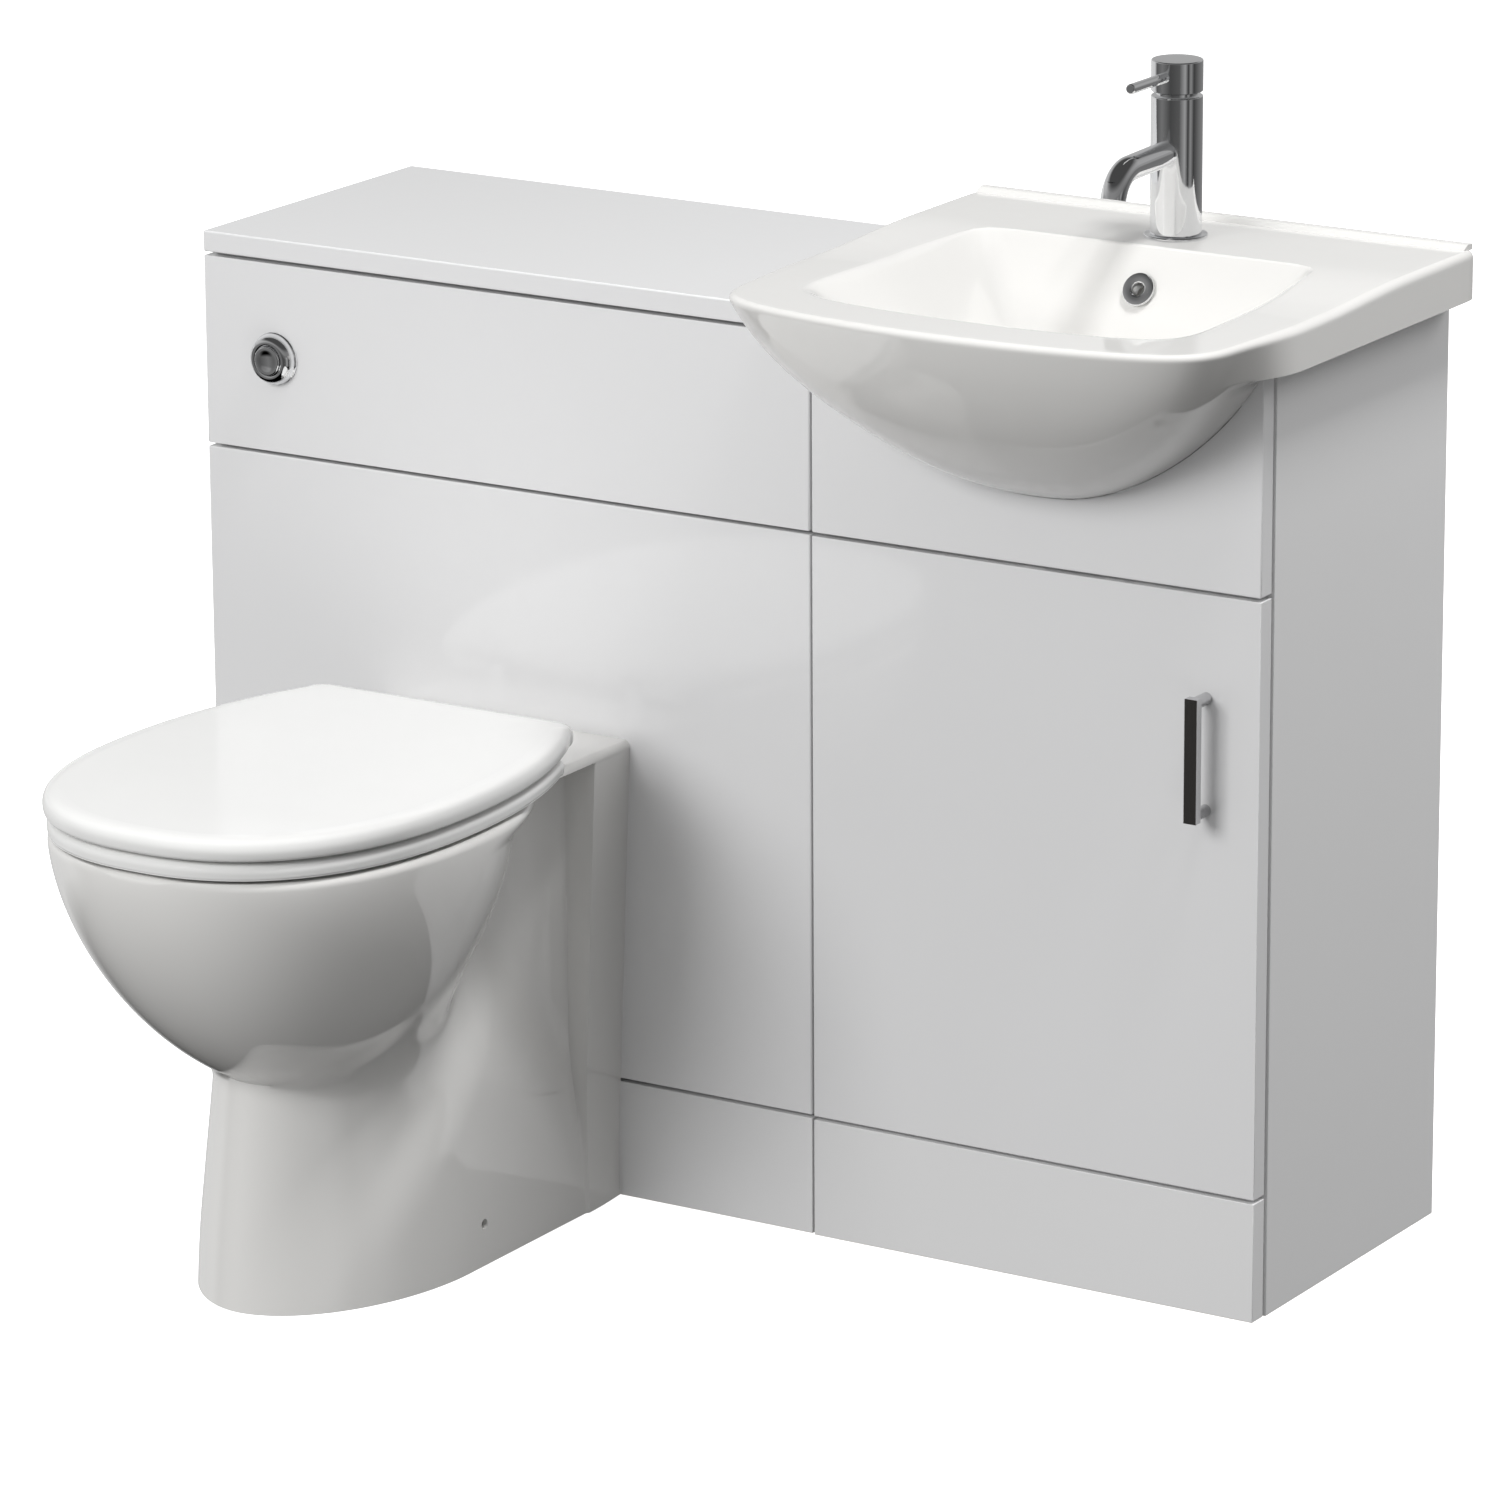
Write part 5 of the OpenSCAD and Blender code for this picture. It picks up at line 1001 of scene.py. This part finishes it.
def hose_tree():
    """Nodes that lay a round tube along a line, and keep each point's place along and round it."""
    tree = bpy.data.node_groups.new("laid_tube", "GeometryNodeTree")
    inputs = {}
    for name, kind in (
        ("Line", "Geometry"), ("Radius", "Float"), ("Sides", "Int"), ("Finish", "Material"),
    ):
        made = tree.interface.new_socket(name, in_out="INPUT", socket_type="NodeSocket" + kind)
        inputs[name] = made.identifier
    tree.interface.new_socket("Geometry", in_out="OUTPUT", socket_type="NodeSocketGeometry")
    add, link = tree.nodes.new, tree.links.new

    def stored(name, kind, geometry, value):
        """Keeps a value with each point of the geometry, under a name."""
        kept = add("GeometryNodeStoreNamedAttribute")
        kept.data_type, kept.inputs["Name"].default_value = kind, name
        link(geometry, kept.inputs["Geometry"])
        link(value, kept.inputs["Value"])
        return kept.outputs["Geometry"]

    given, result = add("NodeGroupInput"), add("NodeGroupOutput")
    line, place = add("GeometryNodeMeshToCurve"), add("GeometryNodeSplineParameter")
    link(given.outputs["Line"], line.inputs["Mesh"])
    circle = add("GeometryNodeCurvePrimitiveCircle")
    link(given.outputs["Sides"], circle.inputs["Resolution"])
    link(given.outputs["Radius"], circle.inputs["Radius"])
    tube = add("GeometryNodeCurveToMesh")
    tube.inputs["Fill Caps"].default_value = True
    path = stored("down", "FLOAT", line.outputs["Curve"], place.outputs["Length"])
    link(path, tube.inputs["Curve"])
    section = stored("round", "FLOAT", circle.outputs["Curve"], place.outputs["Factor"])
    link(section, tube.inputs["Profile Curve"])
    pair = add("ShaderNodeCombineXYZ")
    for name, socket in (("round", "X"), ("down", "Y")):
        read = add("GeometryNodeInputNamedAttribute")
        read.data_type, read.inputs["Name"].default_value = "FLOAT", name
        link(read.outputs["Attribute"], pair.inputs[socket])
    laid_mesh = stored("hose_lay", "FLOAT_VECTOR", tube.outputs["Mesh"], pair.outputs["Vector"])
    real, dressing = add("GeometryNodeRealizeInstances"), add("GeometryNodeSetMaterial")
    link(laid_mesh, real.inputs["Geometry"])
    link(real.outputs["Geometry"], dressing.inputs["Geometry"])
    link(given.outputs["Finish"], dressing.inputs["Material"])
    link(dressing.outputs["Geometry"], result.inputs["Geometry"])
    return tree, inputs


laid_tube, laid_inputs = hose_tree()


def laid(name, points, radius, sides, material):
    """A tube along points, made by the tree and turned into a plain mesh."""
    line = bpy.data.meshes.new(name)
    spans = [(k, k + 1) for k in range(len(points) - 1)]
    line.from_pydata([PLACE @ Vector(p) for p in points], spans, [])
    made = linked(name, line)
    step = made.modifiers.new("laid_tube", "NODES")
    step.node_group = laid_tube
    for key, value in (("Radius", radius / 1000), ("Sides", sides), ("Finish", material)):
        step[laid_inputs[key]] = value
    applied(made)
    shaded(made.data, 50)
    return made


for side, name in ((-1, "hot_tail"), (1, "cold_tail")):
    route = curve_through([(BASIN_X + side * x, y, z) for x, y, z in TAIL_ROUTE], 8)
    mounted(laid(name, route, 4.5, 24, braided_steel), "unit", "tap_tails")


# ------------------------------------------------------------ the button's spring
# A compression spring of 1.4 mm steel wire stands behind the flush button, in four turns.
# The nodes that lay the hoses lay it too.

COIL_START, COIL_END, COIL_R, COIL_SWEEP = 3.0, 15.3, 10.9, 8 * math.pi
coil = [
    (BUTTON_X + COIL_R * math.cos(a), COIL_START + (COIL_END - COIL_START) * a / COIL_SWEEP,
     BUTTON_Z - COIL_R * math.sin(a))
    for a in np.linspace(0, COIL_SWEEP, 161)
]
spring = laid("button_coil", coil, 0.7, 10, zinc_steel)
mounted(spring, "unit", "button_spring")
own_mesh(spring)


# ------------------------------------------------------------------------ studio
# A pale floor, lit for the camera alone, throws no light back up under the object. Round it
# stand four soft walls, whose brightness changes with height; what is mirrored has darker
# walls with upright strips. Three soft lights are left out of what is mirrored.

floor = bmesh.new()
bmesh.ops.create_grid(
    floor, x_segments=1, y_segments=1, size=30, matrix=Matrix.Translation((0, 0, -0.0002))
)
floor_mesh = bpy.data.meshes.new("studio_floor")
floor.to_mesh(floor_mesh)
floor.free()
floor_finish = Finish("studio_floor")
floor_mesh.materials.append(floor_finish.made(
    Base_Color=floor_finish.between(
        (0.90, 0.90, 0.90, 1), (0.88, 0.88, 0.88, 1), floor_finish.noise(2, 2)
    ),
    Roughness=0.9,
    Emission_Color=(1, 1, 1, 1),
    Emission_Strength=1.0,
))
studio_floor = linked("studio_floor", floor_mesh)
studio_floor.visible_diffuse = studio_floor.visible_glossy = False

world = bpy.data.worlds.new("studio")
bpy.context.scene.world = world


class Surround(Finish):
    """The studio's walls, as nodes of the world."""

    def __init__(self, world):
        world.use_nodes = True
        self.tree = world.node_tree
        self.tree.nodes.clear()
        self.where = self.node("ShaderNodeTexCoord", {}, {}, "Generated")

    def level(self, at, stops):
        """A brightness that runs through stops, from 0 to 1."""
        stops = [(place, (tone, tone, tone, 1)) for place, tone in stops]
        return self.node("ShaderNodeValToRGB", {"stops": stops}, {"Fac": at}, "Color")

    def walls(self, height, toward, sides):
        """Four walls of their own brightness at each height, which meet softly."""
        parts = [self.level(height, stops) * share for stops, share in zip(sides, toward)]
        return parts[0] + parts[1] + parts[2] + parts[3]


studio = Surround(world)
look_x, look_y, look_z = (studio.part(axis) for axis in "XYZ")
level_look = (look_x * look_x + look_y * look_y).apply("MAXIMUM", 0.0001)
toward = []
for look in (0 - look_y, 0 - look_x, look_x, look_y):
    facing = look.apply("MAXIMUM")
    toward.append((facing * facing).apply("DIVIDE", level_look))
height = look_z * 0.5 + 0.5
surround = studio.walls(height, toward, [
    [
        (0.0, 0.17), (0.23, 0.17), (0.27, 0.63), (0.41, 0.6), (0.44, 0.53), (0.56, 0.5),
        (0.6, 0.3), (0.73, 0.3), (0.77, 0.58),
    ],
    [
        (0.0, 0.17), (0.23, 0.17), (0.27, 1.0), (0.41, 1.0), (0.44, 0.7), (0.56, 0.65),
        (0.6, 0.17), (0.73, 0.2), (0.77, 0.58),
    ],
    [
        (0.0, 0.17), (0.23, 0.17), (0.27, 0.9), (0.41, 0.9), (0.44, 0.02), (0.73, 0.06),
        (0.77, 0.58),
    ],
    [
        (0.0, 0.17), (0.23, 0.17), (0.27, 0.02), (0.56, 0.02), (0.6, 0.55), (0.73, 0.55),
        (0.77, 0.58),
    ],
])
mirrored = studio.walls(height, toward, [
    [(0.5, 0.0), (0.58, 0.12), (0.62, 0.3), (0.72, 0.3), (0.85, 0.08)],
    [(0.5, 0.0), (0.62, 0.65), (0.72, 0.65), (0.85, 0.08)],
    [(0.5, 0.0), (0.62, 0.25), (0.72, 0.25), (0.85, 0.08)],
    [(0.5, 0.0), (0.62, 0.55), (0.72, 0.5), (0.85, 0.08)],
])
compass = look_x.apply("ARCTAN2", 0 - look_y) * (0.5 / math.pi) + 0.5
strips = studio.level(compass, [
    (0.0, 0.3), (0.16, 0.9), (0.26, 0.8), (0.30, 0.12), (0.39, 0.22), (0.5, 0.08), (0.61, 0.12),
    (0.68, 0.42), (0.72, 0.04), (0.755, 0.32), (0.8, 0.06), (0.9, 0.2), (1.0, 0.3),
])
strip_reach = studio.level(height, [(0.24, 0.0), (0.3, 1.0), (0.54, 1.0), (0.6, 0.0)])
mirrored = mirrored + strips * strip_reach
in_mirror = studio.node("ShaderNodeLightPath", {}, {}, "Is Glossy Ray")
strength = surround + (mirrored - surround) * in_mirror
glow = studio.node("ShaderNodeBackground", {}, {"Strength": strength})
sky_out = studio.tree.nodes.new("ShaderNodeOutputWorld")
studio.tree.links.new(glow.socket, sky_out.inputs["Surface"])


def soft_light(name, at, size, power):
    """A square light that points at the object's middle."""
    data = bpy.data.lights.new(name, "AREA")
    data.shape, data.size, data.size_y, data.energy = "RECTANGLE", size, size, power
    made = linked(name, data)
    made.location = at
    made.rotation_euler = (Vector((0, 0, 0.45)) - Vector(at)).to_track_quat("-Z", "Y").to_euler()
    made.visible_glossy = False


soft_light("light_front", (-0.97, -3.89, 2.49), 2.0, 117)
soft_light("light_right", (1.69, 0, 4.62), 0.9, 112)
soft_light("light_behind", (2.82, 2.37, 3.03), 2.0, 53)

yaw, pitch, roll = math.radians(32.1), math.radians(15.99), math.radians(-0.35)
right = Vector((math.cos(yaw), math.sin(yaw), 0))
ahead = Vector((-math.sin(yaw), math.cos(yaw), 0))
up = Vector((0, 0, 1))
view = ahead * math.cos(pitch) - up * math.sin(pitch)
above = up * math.cos(pitch) + ahead * math.sin(pitch)
across = right * math.cos(roll) + above * math.sin(roll)
upright = above * math.cos(roll) - right * math.sin(roll)
lens = bpy.data.cameras.new("camera")
lens.lens, lens.sensor_width, lens.clip_end = 187.8, 36, 100
camera = linked("camera", lens)
turn_to = Matrix((across, upright, -view)).transposed().to_4x4()
camera.matrix_world = Matrix.Translation((3.29425, -5.1105, 2.174)) @ turn_to
bpy.context.scene.camera = camera
bpy.context.scene.view_settings.view_transform = "Standard"
